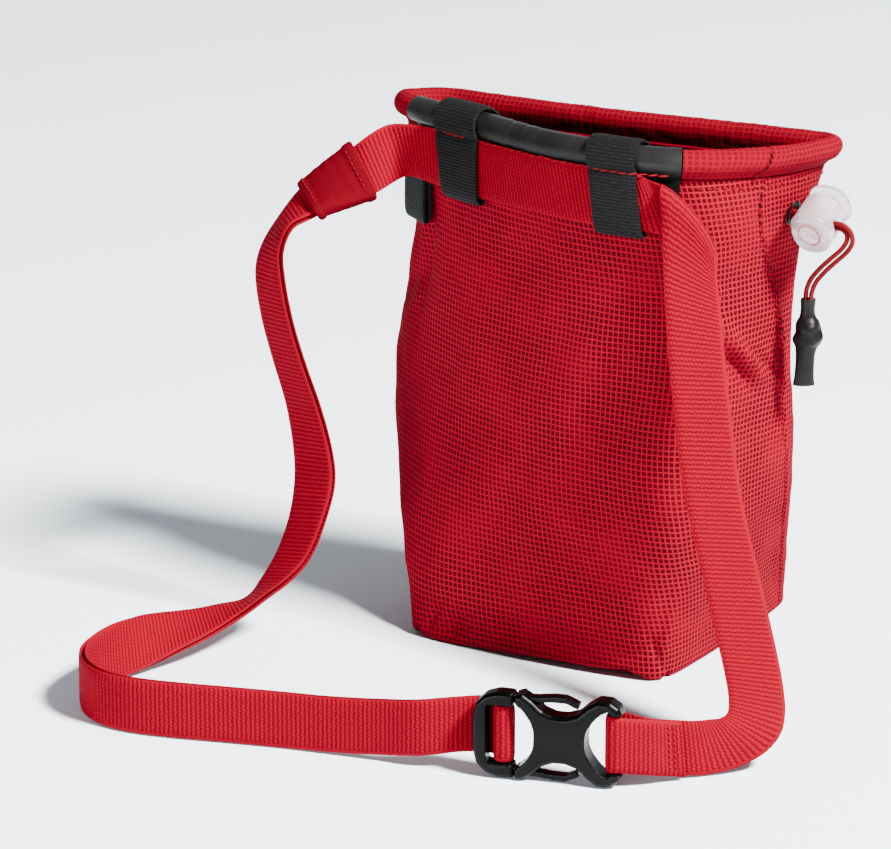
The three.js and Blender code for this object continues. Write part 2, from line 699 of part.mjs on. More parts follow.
function box(x0, x1, y0, y1, z0, z1) {
  const geometry = new THREE.BoxGeometry(x1 - x0, y1 - y0, z1 - z0);
  geometry.translate((x0 + x1) / 2, (y0 + y1) / 2, (z0 + z1) / 2);
  return geometry;
}

function arm(grow, upper, thick) {
  const tip = (a) => (a > 0.65 * BUCKLE_LONG ? grow : 0);
  const top = ARM_TOP.map(inSize).map(([a, z]) => [a + tip(a), z + grow]);
  const low = ARM_LOW.map(inSize).map(([a, z]) => [a + tip(a), z - grow]);
  const line = [...top, ...low].map(([a, z]) => [a, upper ? z : BUCKLE_TALL - z]);
  return toSolid(plate(upper ? line : line.toReversed(), [], thick, 0));
}

function buckleSocket() {
  const armThick = BUCKLE_THICK / 2;
  let body = toSolid(plate(smooth(SOCKET_EDGE, 1), [], BUCKLE_THICK, 1.1));
  const through = (hole) => toSolid(plate(smooth(hole, 2), [], BUCKLE_THICK * 2, 0));
  body = body.subtract(through(LEFT_HOLE)).subtract(through(RIGHT_HOLE));
  body = body.subtract(arm(GAP * 1.2, true, armThick + 2 * GAP));
  body = body.subtract(arm(GAP * 1.2, false, armThick + 2 * GAP));
  const low = FRAME_SIDE;
  const high = BUCKLE_TALL - FRAME_SIDE;
  body = body.subtract(toSolid(box(BUCKLE_LONG - 4.6, BUCKLE_LONG + 5, low, high, -20, 20)));
  const barFrom = BUCKLE_LONG - 4.5;
  const bar = box(barFrom, barFrom + BAR_THICK, low - 1, high + 1, -BAR_THICK / 2, BAR_THICK / 2);
  return body.add(toSolid(bar));
}

function bucklePlug() {
  const low = FRAME_SIDE;
  const high = BUCKLE_TALL - FRAME_SIDE;
  let body = toSolid(plate(PLUG_EDGE, [], BUCKLE_THICK - 1, 1.0));
  body = body.subtract(toSolid(box(4.6, BUCKLE_LONG / 2, low, high, -20, 20)));
  body = body.add(toSolid(box(8.5, 8.5 + BAR_THICK, low - 1, high + 1, -2.2, 0.9)));
  return body.add(arm(0, true, BUCKLE_THICK / 2)).add(arm(0, false, BUCKLE_THICK / 2));
}

function intoBuckleFrame(solid) {
  const geometry = fromSolid(solid);
  const frame = new THREE.Matrix4().makeBasis(alongBuckle, v3(0, 0, 1), forwardBuckle);
  geometry.applyMatrix4(frame.setPosition(BUCKLE_AT));
  return outward(geometry);
}

add("buckle_plug", intoBuckleFrame(bucklePlug()), PLASTIC, 0.35);
add("buckle_socket", intoBuckleFrame(buckleSocket()), PLASTIC, 0.35);

// Cord lock: an oval barrel on its own axis, with a spring plunger that has a flanged head.
// It hangs on the cord beside the wall, its near end turned down and towards the belt side.
const EYELET_PLACE = 5.8;
const EYELET_HIGH = 0.867 * HOOP_HEIGHT;
const LOCK_OUT = 10.6;
const LOCK_DROP = 2;
const LOCK_DIP = 25.1;
const CORD_AT = LOCK_LONG / 2;
const eyeletNormal = planNormal(EYELET_PLACE, EYELET_HIGH);
const eyeletFace = wall(EYELET_PLACE, EYELET_HIGH, 0);
const lockAxis = v3(0, -Math.cos(rad(LOCK_DIP)), -Math.sin(rad(LOCK_DIP)));
const cordMiddle = eyeletFace.clone().add(v3(LOCK_OUT, -LOCK_DROP, -LOCK_DROP));
const LOCK_NEAR = cordMiddle.clone().addScaledVector(lockAxis, CORD_AT);
const lockSide = v3(1, 0, 0);
const lockUp = lockAxis.clone().cross(lockSide).normalize();
if (lockUp.z < 0) lockUp.negate();
const FLANGE_THICK = 2.4;

function lockFrame(geometry) {
  const frame = new THREE.Matrix4().makeBasis(lockSide, lockUp, lockSide.clone().cross(lockUp));
  frame.setPosition(LOCK_NEAR);
  geometry.applyMatrix4(frame);
  return outward(geometry);
}

// Along the lock: zero at the near end face, growing towards the flange.
const lockSign = lockSide.clone().cross(lockUp).dot(lockAxis) > 0 ? -1 : 1;

function oval(a, b, from, to, sides, bevel) {
  const ring = (inset, at) => Array.from({ length: sides }, (_, i) => {
    const angle = (i * 2 * Math.PI) / sides;
    const x = Math.sign(Math.cos(angle)) * Math.abs(Math.cos(angle)) ** 0.85 * (a - inset);
    const y = Math.sign(Math.sin(angle)) * Math.abs(Math.sin(angle)) ** 0.85 * (b - inset);
    return v3(x, y, lockSign * at);
  });
  return skin([ring(bevel, from), ring(0, from + bevel), ring(0, to - bevel), ring(bevel, to)]);
}

function roundBar(radius, from, to, sides = 28) {
  const ring = (at) => Array.from({ length: sides }, (_, i) => {
    const angle = (i * 2 * Math.PI) / sides;
    return v3(Math.cos(angle) * radius, Math.sin(angle) * radius, lockSign * at);
  });
  return skin([ring(from), ring(to)]);
}

const HOLE_TALL = 2 * STRAND + GAP + 0.9;
const HOLE_LONG = STRAND + 0.8;
const cordSlot = (long) => box(
  -20, 20, -HOLE_TALL / 2, HOLE_TALL / 2,
  Math.min(lockSign * (CORD_AT - long / 2), lockSign * (CORD_AT + long / 2)),
  Math.max(lockSign * (CORD_AT - long / 2), lockSign * (CORD_AT + long / 2)),
);

function lockBarrel() {
  let body = toSolid(oval(LOCK_WIDE / 2, LOCK_TALL / 2, 0, LOCK_LONG, 24, 1.2));
  body = body.subtract(toSolid(roundBar(BORE_RADIUS, 1.5, LOCK_LONG + 5)));
  return body.subtract(toSolid(cordSlot(HOLE_LONG)));
}

function lockPlunger() {
  const head = LOCK_LONG + TRAVEL + 2 * GAP;
  let body = toSolid(roundBar(PLUNGER_RADIUS, 1.5 + TRAVEL + GAP, head + 1));
  body = body.add(toSolid(oval(7.6, 7.6, head, head + FLANGE_THICK, 28, 0.8)));
  return body.subtract(toSolid(cordSlot(HOLE_LONG + 2 * TRAVEL)));
}

add("cord_lock_barrel", lockFrame(fromSolid(lockBarrel())), CLEAR, 0.2);
add("cord_lock_plunger", lockFrame(fromSolid(lockPlunger())), CLEAR, 0.25);

// Drawcord: two strands from the eyelet through the lock and down into the cord end.
const CORD_DROP = 26.5;
const CORD_END_TOP = v3(cordMiddle.x - 2.6, cordMiddle.y, cordMiddle.z - CORD_DROP);

// Path of the cord after the lock. Columns: from the lock's hole outward, along the wall, up.
const CORD_TURN = [
  [7.8, 0, 0], [9.6, 0, -0.3], [11.6, 0, -1.9], [12.1, 0, -4.6], [10.4, 0, -7.8], [6.6, 0, -11.6],
  [2.4, 0, -15.8], [-1.0, 0, -20.2], [-2.4, 0, -24.0],
];
const CORD_PATH = [
  eyeletFace.clone().addScaledVector(eyeletNormal, 0.9),
  cordMiddle.clone().addScaledVector(lockSide, -LOCK_WIDE / 2 - 0.4),
  cordMiddle.clone().addScaledVector(lockSide, -LOCK_WIDE / 4),
  cordMiddle.clone().addScaledVector(lockSide, LOCK_WIDE / 4),
  ...CORD_TURN.map(([x, y, z]) => cordMiddle.clone().add(v3(x, y, z))),
  CORD_END_TOP.clone().add(v3(0, 0, 0.5)),
  CORD_END_TOP.clone().add(v3(0, 0, -2.4)),
];

function strand(side) {
  const curve = new THREE.CatmullRomCurve3(CORD_PATH, false, "centripetal");
  const steps = 22;
  const sides = 8;
  const rings = [];
  for (let i = 0; i <= steps; i += 1) {
    const t = curve.getTangentAt(i / steps);
    const flat = lockAxis.clone().addScaledVector(t, -lockAxis.dot(t)).normalize();
    const up = flat.clone().cross(t).normalize();
    const centre = curve.getPointAt(i / steps).addScaledVector(up, side * (STRAND + GAP) / 2);
    rings.push(Array.from({ length: sides }, (_, k) => {
      const angle = (k * 2 * Math.PI) / sides;
      const p = centre.clone().addScaledVector(up, Math.cos(angle) * STRAND / 2);
      return p.addScaledVector(flat, Math.sin(angle) * STRAND / 2);
    }));
  }
  return skin(rings);
}

add("draw_cord_strand_1", strand(1), RED_WEB, 0.6);
add("draw_cord_strand_2", strand(-1), RED_WEB, 0.6);

// Eyelet: a small black grommet on the wall where the strands come out.
function eyelet() {
  const nextTo = (step) => wall(EYELET_PLACE + step, EYELET_HIGH, 0);
  const wide = nextTo(0.05).distanceTo(nextTo(-0.05)) / 0.1;
  const ring = (a, b, d) => Array.from({ length: 14 }, (_, i) => {
    const angle = (i * 2 * Math.PI) / 14;
    return wall(EYELET_PLACE + (a * Math.cos(angle)) / wide, EYELET_HIGH + b * Math.sin(angle), d);
  });
  const rings = [ring(3.4, 4.2, GAP + 0.15), ring(3.2, 4.0, 1.2), ring(2.0, 2.8, 1.2), ring(1.9, 2.7, GAP + 0.15)];
  return skin(rings, { closed: true });
}

add("cord_eyelet", eyelet(), BLACK, 0.5);

// Cord end: shrunk sleeve over the knot. Columns: share of length down, half width, half depth, shift.
const CORD_END = [
  [0.0, 2.6, 1.9, 0.0],
  [0.11, 2.4, 1.9, -0.1],
  [0.18, 2.6, 2.2, -0.1],
  [0.26, 3.9, 3.4, 0.1],
  [0.34, 4.7, 4.0, 0.2],
  [0.42, 4.9, 4.1, 0.2],
  [0.5, 4.5, 3.5, 0.1],
  [0.58, 3.5, 2.5, -0.4],
  [0.7, 3.2, 2.0, -0.6],
  [0.88, 3.3, 1.7, -0.8],
  [1.0, 3.7, 1.6, -0.9],
];

function cordEnd() {
  const side = v3(0.859, 0.512, 0);
  const deep = v3(side.y, -side.x, 0);
  const rings = CORD_END.map(([share, wide, thick, shift]) => {
    const z = CORD_END_TOP.z - share * CORD_END_LONG;
    const c = CORD_END_TOP.clone().addScaledVector(side, shift).setZ(z);
    return Array.from({ length: 16 }, (_, i) => {
      const angle = (i * 2 * Math.PI) / 16;
      const p = c.clone().addScaledVector(side, wide * Math.cos(angle));
      return p.addScaledVector(deep, thick * Math.sin(angle));
    });
  });
  const body = toSolid(skin(rings));
  const room = STRAND / 2 + GAP;
  const long = (STRAND + GAP) / 2 + room;
  const socket = box(-long, long, -room, room, -3.0, 3.0);
  const flat = lockAxis.clone().setZ(0).normalize();
  const along = v3(-flat.y, flat.x, 0);
  socket.applyMatrix4(new THREE.Matrix4().makeBasis(along, flat, v3(0, 0, -1)).setPosition(CORD_END_TOP));
  return fromSolid(body.subtract(toSolid(outward(socket))));
}

add("cord_end", outward(cordEnd()), PLASTIC, 0.4);

export default group;
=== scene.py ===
"""Looks of the climbing chalk bag: cloth, webbing, buckle, cord and lock, on a pale floor."""

import math

import bmesh
import bpy
import numpy as np
from mathutils import Matrix, Vector, noise


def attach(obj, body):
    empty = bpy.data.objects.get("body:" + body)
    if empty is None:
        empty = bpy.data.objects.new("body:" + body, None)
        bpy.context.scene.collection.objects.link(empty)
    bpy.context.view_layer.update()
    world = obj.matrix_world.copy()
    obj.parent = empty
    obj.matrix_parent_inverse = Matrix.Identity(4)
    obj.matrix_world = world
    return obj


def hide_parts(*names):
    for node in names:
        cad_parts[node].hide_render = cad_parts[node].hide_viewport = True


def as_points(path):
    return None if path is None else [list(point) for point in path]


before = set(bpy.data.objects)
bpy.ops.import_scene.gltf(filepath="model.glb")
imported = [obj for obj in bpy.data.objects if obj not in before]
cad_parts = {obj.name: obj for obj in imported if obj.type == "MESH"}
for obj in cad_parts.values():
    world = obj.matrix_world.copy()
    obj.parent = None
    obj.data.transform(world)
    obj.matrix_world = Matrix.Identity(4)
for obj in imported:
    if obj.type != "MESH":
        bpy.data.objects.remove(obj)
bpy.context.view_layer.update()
MM = 0.001

# Sizes, as in the part's source
HALF_BASE = 51
HOOP_HEIGHT = 182
HOOP_TILT = 0.062
ROLL_TALL = 10.2
ROLL_HALF = 4.3
CLOTH = 2.0
LINING = 1.0
GAP = 0.3
WEB_WIDE = 19
WEB_THICK = 1.3
LAYER_STEP = WEB_THICK + GAP
FLAP_DROP = 14
LOOP_THICK = 1.2
BELT_OUT = 3.8
BUCKLE_LONG = 49.5
BUCKLE_TALL = 30
STRAND = 1.7
LOCK_WIDE = 14
CORD_END_LONG = 30

# Twelve points round the plan, as shares of HALF_BASE. Columns: x, y at each of the four PLAN_HEIGHTS.
PLAN = np.array([
    [-1.00, -0.80, -1.57, -0.12, -1.41, -0.10, -1.52, -0.05],
    [-0.94, -0.94, -1.25, -0.43, -1.18, -0.34, -1.25, -0.28],
    [-0.75, -1.00, -0.56, -0.80, -0.59, -0.68, -0.80, -0.45],
    [0.75, -1.00, 0.33, -1.02, 0.37, -0.95, 0.18, -0.85],
    [0.94, -0.94, 1.10, -0.98, 1.02, -0.94, 0.98, -0.84],
    [1.00, -0.80, 1.22, -0.82, 1.17, -0.80, 1.39, -0.37],
    [1.00, 0.75, 1.40, 0.02, 1.40, 0.03, 1.53, 0.09],
    [0.94, 0.94, 1.36, 0.22, 1.37, 0.21, 1.50, 0.36],
    [0.75, 1.00, 1.15, 0.42, 1.13, 0.36, 1.14, 0.38],
    [-0.75, 1.00, -0.20, 0.36, -0.18, 0.31, -0.16, 0.24],
    [-0.94, 0.94, -1.12, 0.20, -0.98, 0.20, -0.92, 0.22],
    [-1.00, 0.75, -1.42, 0.12, -1.28, 0.13, -1.37, 0.19],
]).reshape(12, 4, 2) * HALF_BASE
TOP_SHARE = 0.978
PLAN_HEIGHTS = np.array([0.013, 0.418, 0.77, TOP_SHARE]) * HOOP_HEIGHT

# Main folds. Columns: place, height share, length, width, lean in degrees, out.
FOLDS = [
    (5.45, 0.625, 15, 4.0, -48, 2.2),
    (5.3, 0.585, 12, 3.5, -48, -2.0),
    (1.05, 0.68, 20, 4.0, 88, -1.6),
    (0.55, 0.64, 12, 5.0, 40, -2.0),
    (2.15, 0.03, 6, 4.0, 70, -1.6),
    (4.1, 0.14, 16, 4.5, 80, -1.8),
    (6.3, 0.57, 34, 24, 0, -2.2),
]
# Section of the rolled rim. Columns: up from its foot, out.
ROLL = np.array([
    [GAP, 0], [1.6, 1.0], [3.4, 3.5], [5.9, ROLL_HALF], [8.6, 3.1], [ROLL_TALL, 0], [8.6, -3.1],
    [5.9, -ROLL_HALF], [3.4, -4.2], [1.6, -3.9], [GAP, -3.6],
])


# Curves
def unit(v):
    return v / np.linalg.norm(v, axis=-1, keepdims=True)


def lengths(points, axis=0):
    """Distance from the first point along a line, or along one axis of a grid."""
    steps = np.linalg.norm(np.diff(points, axis=axis), axis=-1)
    return np.concatenate([np.zeros_like(steps.take([0], axis)), np.cumsum(steps, axis)], axis)


def ease(z):
    """Control points of the plan at heights z: smooth between the four outlines."""
    z = np.asarray(z, float)
    k = PLAN_HEIGHTS
    i = np.clip(np.searchsorted(k, z, side="left") - 1, 0, len(k) - 2)
    slope = (PLAN[:, 1:] - PLAN[:, :-1]) / (k[1:] - k[:-1])[None, :, None]
    tan = np.concatenate([slope[:, :1], (slope[:, :-1] + slope[:, 1:]) / 2, slope[:, -1:]], 1)
    h = (k[i + 1] - k[i])[..., None]
    s = ((z - k[i])[..., None]) / h
    v = np.moveaxis(PLAN, 0, 1)
    t = np.moveaxis(tan, 0, 1)
    s = s[..., None]
    h = h[..., None]
    return (
        (1 + 2 * s) * (1 - s) ** 2 * v[i]
        + s * (1 - s) ** 2 * h * t[i]
        + s * s * (3 - 2 * s) * v[i + 1]
        + s * s * (s - 1) * h * t[i + 1]
    )


def catmull(p0, p1, p2, p3, w):
    """Centripetal spline through p1 and p2."""
    def gap(a, b):
        return (((a - b) ** 2).sum(-1) ** 0.25)[..., None]
    d1 = gap(p1, p2)
    d1 = np.where(d1 < 1e-4, 1.0, d1)
    d0 = gap(p0, p1)
    d0 = np.where(d0 < 1e-4, d1, d0)
    d2 = gap(p2, p3)
    d2 = np.where(d2 < 1e-4, d1, d2)
    t1 = ((p1 - p0) / d0 - (p2 - p0) / (d0 + d1) + (p2 - p1) / d1) * d1
    t2 = ((p2 - p1) / d1 - (p3 - p1) / (d1 + d2) + (p3 - p2) / d2) * d1
    w = w[..., None]
    a = -3 * p1 + 3 * p2 - 2 * t1 - t2
    b = 2 * p1 - 2 * p2 + t1 + t2
    return p1 + t1 * w + a * w ** 2 + b * w ** 3


def plan_point(at, z):
    """Point of the wall's outline at a place of 0..12 round it and a height."""
    at, z = np.broadcast_arrays(np.asarray(at, float), np.asarray(z, float))
    c = ease(z)
    t = np.mod(at, 12)
    i = np.floor(t).astype(int)
    w = t - i
    pick = lambda k: np.take_along_axis(c, np.mod(i + k, 12)[..., None, None], axis=-2)[..., 0, :]
    return catmull(pick(-1), pick(0), pick(1), pick(2), w)


def plan_normal(at, z):
    d = plan_point(np.asarray(at) + 0.04, z) - plan_point(np.asarray(at) - 0.04, z)
    d = unit(d)
    return np.stack([d[..., 1], -d[..., 0]], -1)


def relief(rows, at, z):
    """Sum of a table's folds or wrinkles at places on the wall, outward."""
    at, z = np.broadcast_arrays(np.asarray(at, float), np.asarray(z, float))
    total = np.zeros(at.shape)
    here = plan_point(at, z)
    for place, high, long, wide, lean, out in rows:
        mm = np.linalg.norm(plan_point(place, z) - here, axis=-1) * np.sign(at - place)
        up = z - high * HOOP_HEIGHT
        c, s = math.cos(math.radians(lean)), math.sin(math.radians(lean))
        total += out * np.exp(-((mm * c + up * s) / long) ** 2 - ((up * c - mm * s) / wide) ** 2)
    return total


def fold_out(at, z):
    return relief(FOLDS, at, z)


def wall(at, z, out):
    at, z, out = np.broadcast_arrays(*(np.asarray(v, float) for v in (at, z, out)))
    p = plan_point(at, z) + plan_normal(at, z) * out[..., None]
    return np.concatenate([p, z[..., None]], -1)


def wall_top(at):
    y = plan_point(at, HOOP_HEIGHT * TOP_SHARE)[..., 1]
    return HOOP_HEIGHT - HOOP_TILT * (y + 3) - ROLL_TALL


def spline(points, t, closed=False):
    """Points of a centripetal spline at parameters t in 0..1."""
    p = np.asarray(points, float)
    n = len(p)
    t = np.asarray(t, float)
    if closed:
        s = t * n
        i = np.floor(s).astype(int)
        w = s - i
        return catmull(p[(i - 1) % n], p[i % n], p[(i + 1) % n], p[(i + 2) % n], w)
    s = t * (n - 1)
    i = np.minimum(np.floor(s).astype(int), n - 2)
    w = s - i
    q = np.concatenate([[2 * p[0] - p[1]], p, [2 * p[-1] - p[-2]]])
    return catmull(q[i], q[i + 1], q[i + 2], q[i + 3], w)


def even(points, count):
    """The same spline at equal steps of length."""
    t = np.linspace(0, 1, 4000)
    c = spline(points, t)
    d = lengths(c)
    return spline(points, np.interp(np.linspace(0, d[-1], count), d, t))


# Materials
class Look:
    """A new material: its shader, and short calls that add the nodes it is made of."""

    def __init__(self, name):
        self.material = bpy.data.materials.new(name)
        self.material.use_nodes = True
        self.tree = self.material.node_tree
        self.bsdf = self.tree.nodes["Principled BSDF"]

    def node(self, kind, **values):
        n = self.tree.nodes.new(kind)
        for key, value in values.items():
            setattr(n, key, value)
        return n

    def feed(self, socket, value):
        """Link another socket to this one, or set it to a number or a colour."""
        if hasattr(value, "links"):
            self.tree.links.new(value, socket)
        else:
            socket.default_value = (*value, 1) if isinstance(value, tuple) else value

    def set(self, **values):
        for key, value in values.items():
            self.feed(self.bsdf.inputs[key.replace("_", " ")], value)

    def made(self, kind, values, **settings):
        """A node whose numbered or named inputs are fed with these values."""
        n = self.node(kind, **settings)
        for key, value in values.items():
            self.feed(n.inputs[key], value)
        return n.outputs

    def math(self, op, *values):
        return self.made("ShaderNodeMath", dict(enumerate(values)), operation=op)[0]

    def mix(self, share, a, b):
        return self.made("ShaderNodeMix", {0: share, 6: a, 7: b}, data_type="RGBA")[2]

    def noise(self, vector, scale, detail=3.0):
        return self.made("ShaderNodeTexNoise", {"Vector": vector, "Scale": scale, "Detail": detail})[0]

    def step(self, value, low, high):
        """Smooth step from 0 to 1 between two values."""
        return self.made("ShaderNodeMapRange", {0: value, 1: low, 2: high}, clamp=True,
                         interpolation_type="SMOOTHSTEP")[0]

    def wave(self, value, pitch):
        """Smooth wave of 0..1 along a value in millimetres."""
        turn = self.math("MULTIPLY", value, 2 * math.pi / pitch)
        return self.math("MULTIPLY_ADD", self.math("SINE", turn), 0.5, 0.5)

    def uv(self):
        """The UV map in millimetres: the vector, then its two parts."""
        vector = self.node("ShaderNodeUVMap", uv_map="mm").outputs[0]
        parts = self.made("ShaderNodeSeparateXYZ", {0: vector})
        return vector, parts[0], parts[1]

    def bump(self, height, strength, deep):
        """Relief of a depth in millimetres."""
        values = {"Height": height, "Strength": strength, "Distance": deep * MM}
        self.set(Normal=self.made("ShaderNodeBump", values)[0])


def scaled(color, by):
    return tuple(c * by for c in color)


GRID = 1.92
THREAD = 0.43


def grid_cloth(name, dark, bright, pitch=GRID, strength=0.5):
    """Ripstop: small cells between raised threads, with painted shade in the sunken cells and a painted highlight
    on the tops of the fine threads.
    """
    m = Look(name)
    vec, u, v = m.uv()
    sway = m.noise(vec, 0.25, 2)
    u = m.math("MULTIPLY_ADD", sway, 0.5, u)
    v = m.math("MULTIPLY_ADD", sway, 0.4, v)
    hole = m.step(m.math("MINIMUM", m.wave(u, pitch), m.wave(v, pitch)), 0.02, 0.5)
    # Painted shade: the sunken cells are darkened, more strongly in slow patches.
    patch = m.math("MULTIPLY", hole, m.step(m.noise(vec, 0.035), 0.15, 0.62))
    depth = m.math("MULTIPLY_ADD", patch, 0.55, m.math("MULTIPLY", hole, 0.45))
    # Painted highlight: the tops of the fine threads are lightened.
    fine = m.math("MULTIPLY", m.wave(u, THREAD), m.wave(v, THREAD))
    base = m.mix(depth, bright, dark)
    m.set(Base_Color=m.mix(m.math("MULTIPLY", fine, 0.18), base, scaled(bright, 1.35)),
          Roughness=0.9, Specular_IOR_Level=0.015)
    m.bump(m.math("MULTIPLY_ADD", hole, -0.75, m.math("MULTIPLY", fine, 0.25)), strength, 0.22)
    return m.material


def webbing(name, dark, bright, rib=1.55, pick=1.3, strength=0.8, spec=0.06, edge=0.0):
    """Woven strap: ribs across it, made of short picks, with painted shade in the hollows between them and painted
    highlights on their tops, and a plain edge of this width at each side.
    """
    m = Look(name)
    vec, u, v = m.uv()
    jitter = m.noise(vec, 0.9, 2)
    u = m.math("MULTIPLY_ADD", jitter, 0.35, m.math("MULTIPLY_ADD", m.wave(v, pick * 2), 0.16, u))
    odd = m.math("MODULO", m.math("FLOOR", m.math("DIVIDE", u, rib)), 2.0)
    column = m.wave(m.math("MULTIPLY_ADD", odd, pick / 2, v), pick)
    cell = m.math("MULTIPLY", m.wave(u, rib), m.math("MULTIPLY_ADD", column, 0.6, 0.4))
    # Painted shade: the hollows between the ribs are darkened.
    painted_hollow_shade = m.math("SUBTRACT", 1.0, m.step(cell, 0.03, 0.34))
    # Painted highlight: the tops of the picks are lightened, in random specks.
    lit = m.math("MULTIPLY", m.step(cell, 0.62, 0.98), m.step(jitter, 0.3, 0.62))
    if edge:
        side = m.math("MODULO", v, WEB_WIDE + 0.35)
        far = m.step(side, WEB_WIDE - edge * 1.3, WEB_WIDE - edge * 0.9)
        inside = m.math("MULTIPLY", m.step(side, edge * 0.7, edge * 1.1), m.math("SUBTRACT", 1.0, far))
        painted_hollow_shade = m.math("MULTIPLY", painted_hollow_shade, inside)
        lit = m.math("MULTIPLY", lit, inside)
        cell = m.math("MULTIPLY_ADD", inside, m.math("SUBTRACT", cell, 0.6), 0.6)
    base = m.mix(m.math("MULTIPLY", lit, 0.6), dark, bright)
    m.set(Base_Color=m.mix(m.math("MULTIPLY", painted_hollow_shade, 0.7), base, scaled(dark, 0.38)),
          Roughness=0.7, Specular_IOR_Level=spec)
    m.bump(cell, strength, 0.3)
    return m.material


def plain(name, color, rough, grain, strength, spec):
    """One colour, with a fine grain and slow patches of tone and gloss."""
    m = Look(name)
    place = m.node("ShaderNodeTexCoord").outputs["Object"]
    patch = m.noise(place, grain)
    lighter = tuple(min(1, c * 1.25 + 0.004) for c in color)
    m.set(Base_Color=m.mix(m.step(patch, 0.35, 0.75), color, lighter), Specular_IOR_Level=spec,
          Roughness=m.math("MULTIPLY_ADD", patch, 0.14, rough - 0.07))
    m.bump(m.noise(place, grain * 20, 4), strength, 0.2)
    return m.material


def clear_plastic():
    """Cloudy plastic, red where the piece's own attribute asks for it: a painted refraction of the cord seen
    through the plastic.
    """
    m = Look("cloudy_plastic")
    painted_cord_red = m.node("ShaderNodeAttribute", attribute_name="painted_cord_red").outputs[2]
    # Painted refraction: the cord's red mixed into the plastic's colour.
    m.set(Base_Color=m.mix(painted_cord_red, (0.93, 0.80, 0.81), (0.55, 0.02, 0.04)), Roughness=0.24,
          Transmission_Weight=0.82, IOR=1.42)
    m.bump(m.noise(m.node("ShaderNodeTexCoord").outputs["Object"], 260), 0.05, 0.2)
    return m.material


def cord_material():
    """Two crossing waves make the braid; its colour is darker in the grooves and lighter on the tops, as painted
    shade.
    """
    m = Look("red_braid")
    _, u, v = m.uv()
    cell = m.math("MULTIPLY", *(m.wave(m.math("MULTIPLY_ADD", v, lean, u), 1.0) for lean in (0.8, -0.8)))
    # Painted shade: the braid's grooves take the darker red.
    m.set(Base_Color=m.mix(cell, (0.07, 0.0006, 0.002), (0.2, 0.004, 0.009)), Roughness=0.7,
          Specular_IOR_Level=0.08)
    m.bump(cell, 0.7, 0.2)
    return m.material


MAT = {
    "shell": grid_cloth("shell_ripstop", (0.022, 0.0010, 0.0018), (0.182, 0.0006, 0.0092)),
    "rim": grid_cloth("rim_ripstop", (0.066, 0.0006, 0.0034), (0.125, 0.0006, 0.0064), strength=0.3),
    "keeper": grid_cloth("keeper_cloth", (0.05, 0.0005, 0.0025), (0.068, 0.0006, 0.0035), 0.9, strength=0.3),
    "web": webbing("red_webbing", (0.148, 0.0001, 0.0066), (0.215, 0.0018, 0.0134), spec=0.01, edge=0.8),
    "black_web": webbing("black_webbing", (0.0026, 0.0023, 0.0023), (0.034, 0.032, 0.032), rib=1.1, pick=0.85,
                         strength=1.0, spec=0.08),
    "flap": webbing("flap_cloth", (0.002, 0.0018, 0.0018), (0.004, 0.0036, 0.0036), rib=0.5, pick=0.5,
                    strength=0.4, spec=0.04),
    # Plain ones: colour, roughness, grain, depth of the grain, gloss.
    "grip": plain("grip_coating", (0.0045, 0.0042, 0.004), 0.45, 45, 0.08, 0.09),
    "fleece": plain("lining_fleece", (0.0025, 0.0023, 0.0024), 0.95, 90, 0.6, 0.02),
    "plastic": plain("moulded_plastic", (0.0004, 0.0003, 0.0003), 0.3, 30, 0.05, 0.06),
    "sleeve": plain("shrink_sleeve", (0.0032, 0.0026, 0.0026), 0.4, 60, 0.12, 0.1),
    "thread_red": plain("red_thread", (0.13, 0.0008, 0.003), 0.7, 200, 0.2, 0.05),
    "thread_dark": plain("dark_thread", (0.022, 0.0008, 0.0014), 0.7, 200, 0.2, 0.05),
    "clear": clear_plastic(),
    "cord": cord_material(),
}


# Mesh helpers
def make(name, rings, mat, replaces=(), closed=False, uv=None):
    """Mesh from a grid of points (rings x around), in millimetres, with a UV map in millimetres."""
    g = np.asarray(rings, float)
    rows, cols = g.shape[:2]
    if uv is None:
        around = lengths(np.concatenate([g, g[:, :1]], 1), 1)
        along = lengths(g).mean(1)
        uv = np.stack([np.broadcast_to(along[:, None], around.shape), around], -1)
    faces, loops = [], []
    for i in range(rows if closed else rows - 1):
        j = (i + 1) % rows
        upper = min(i + 1, rows - 1)
        for k in range(cols):
            n = (k + 1) % cols
            faces.append((i * cols + k, i * cols + n, j * cols + n, j * cols + k))
            loops += [uv[i, k], uv[i, k + 1], uv[upper, k + 1], uv[upper, k]]
    if not closed:
        for i, turn in ((0, -1), (rows - 1, 1)):
            faces.append(tuple(range(i * cols, (i + 1) * cols))[::turn])
            loops += list(uv[i, :cols])[::turn]
    mesh = bpy.data.meshes.new(name)
    mesh.from_pydata((g.reshape(-1, 3) * MM).tolist(), [], faces)
    layer = mesh.uv_layers.new(name="mm")
    layer.data.foreach_set("uv", np.asarray(loops, np.float32).ravel())
    mesh.materials.append(MAT[mat])
    return finish_piece(name, mesh, replaces)


def show(name, data):
    obj = bpy.data.objects.new(name, data)
    bpy.context.scene.collection.objects.link(obj)
    return obj


def finish_piece(name, mesh, replaces=(), body="bag", normals=True):
    if normals:
        bm = bmesh.new()
        bm.from_mesh(mesh)
        bmesh.ops.recalc_face_normals(bm, faces=bm.faces)
        bm.to_mesh(mesh)
        bm.free()
    mesh.polygons.foreach_set("use_smooth", [True] * len(mesh.polygons))
    mesh.set_sharp_from_angle(angle=math.radians(50))
    obj = show(name, mesh)
    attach(obj, body)
    if replaces:
        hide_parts(*replaces)
    return obj


# One stitch. Columns: share of its length, share of its thickness, lift.
STITCH = [(-0.5, 0.25, -0.3), (-0.32, 0.85, 0.12), (0, 1.0, 0.3), (0.32, 0.85, 0.12), (0.5, 0.25, -0.3)]
STITCH_SIDES = 6


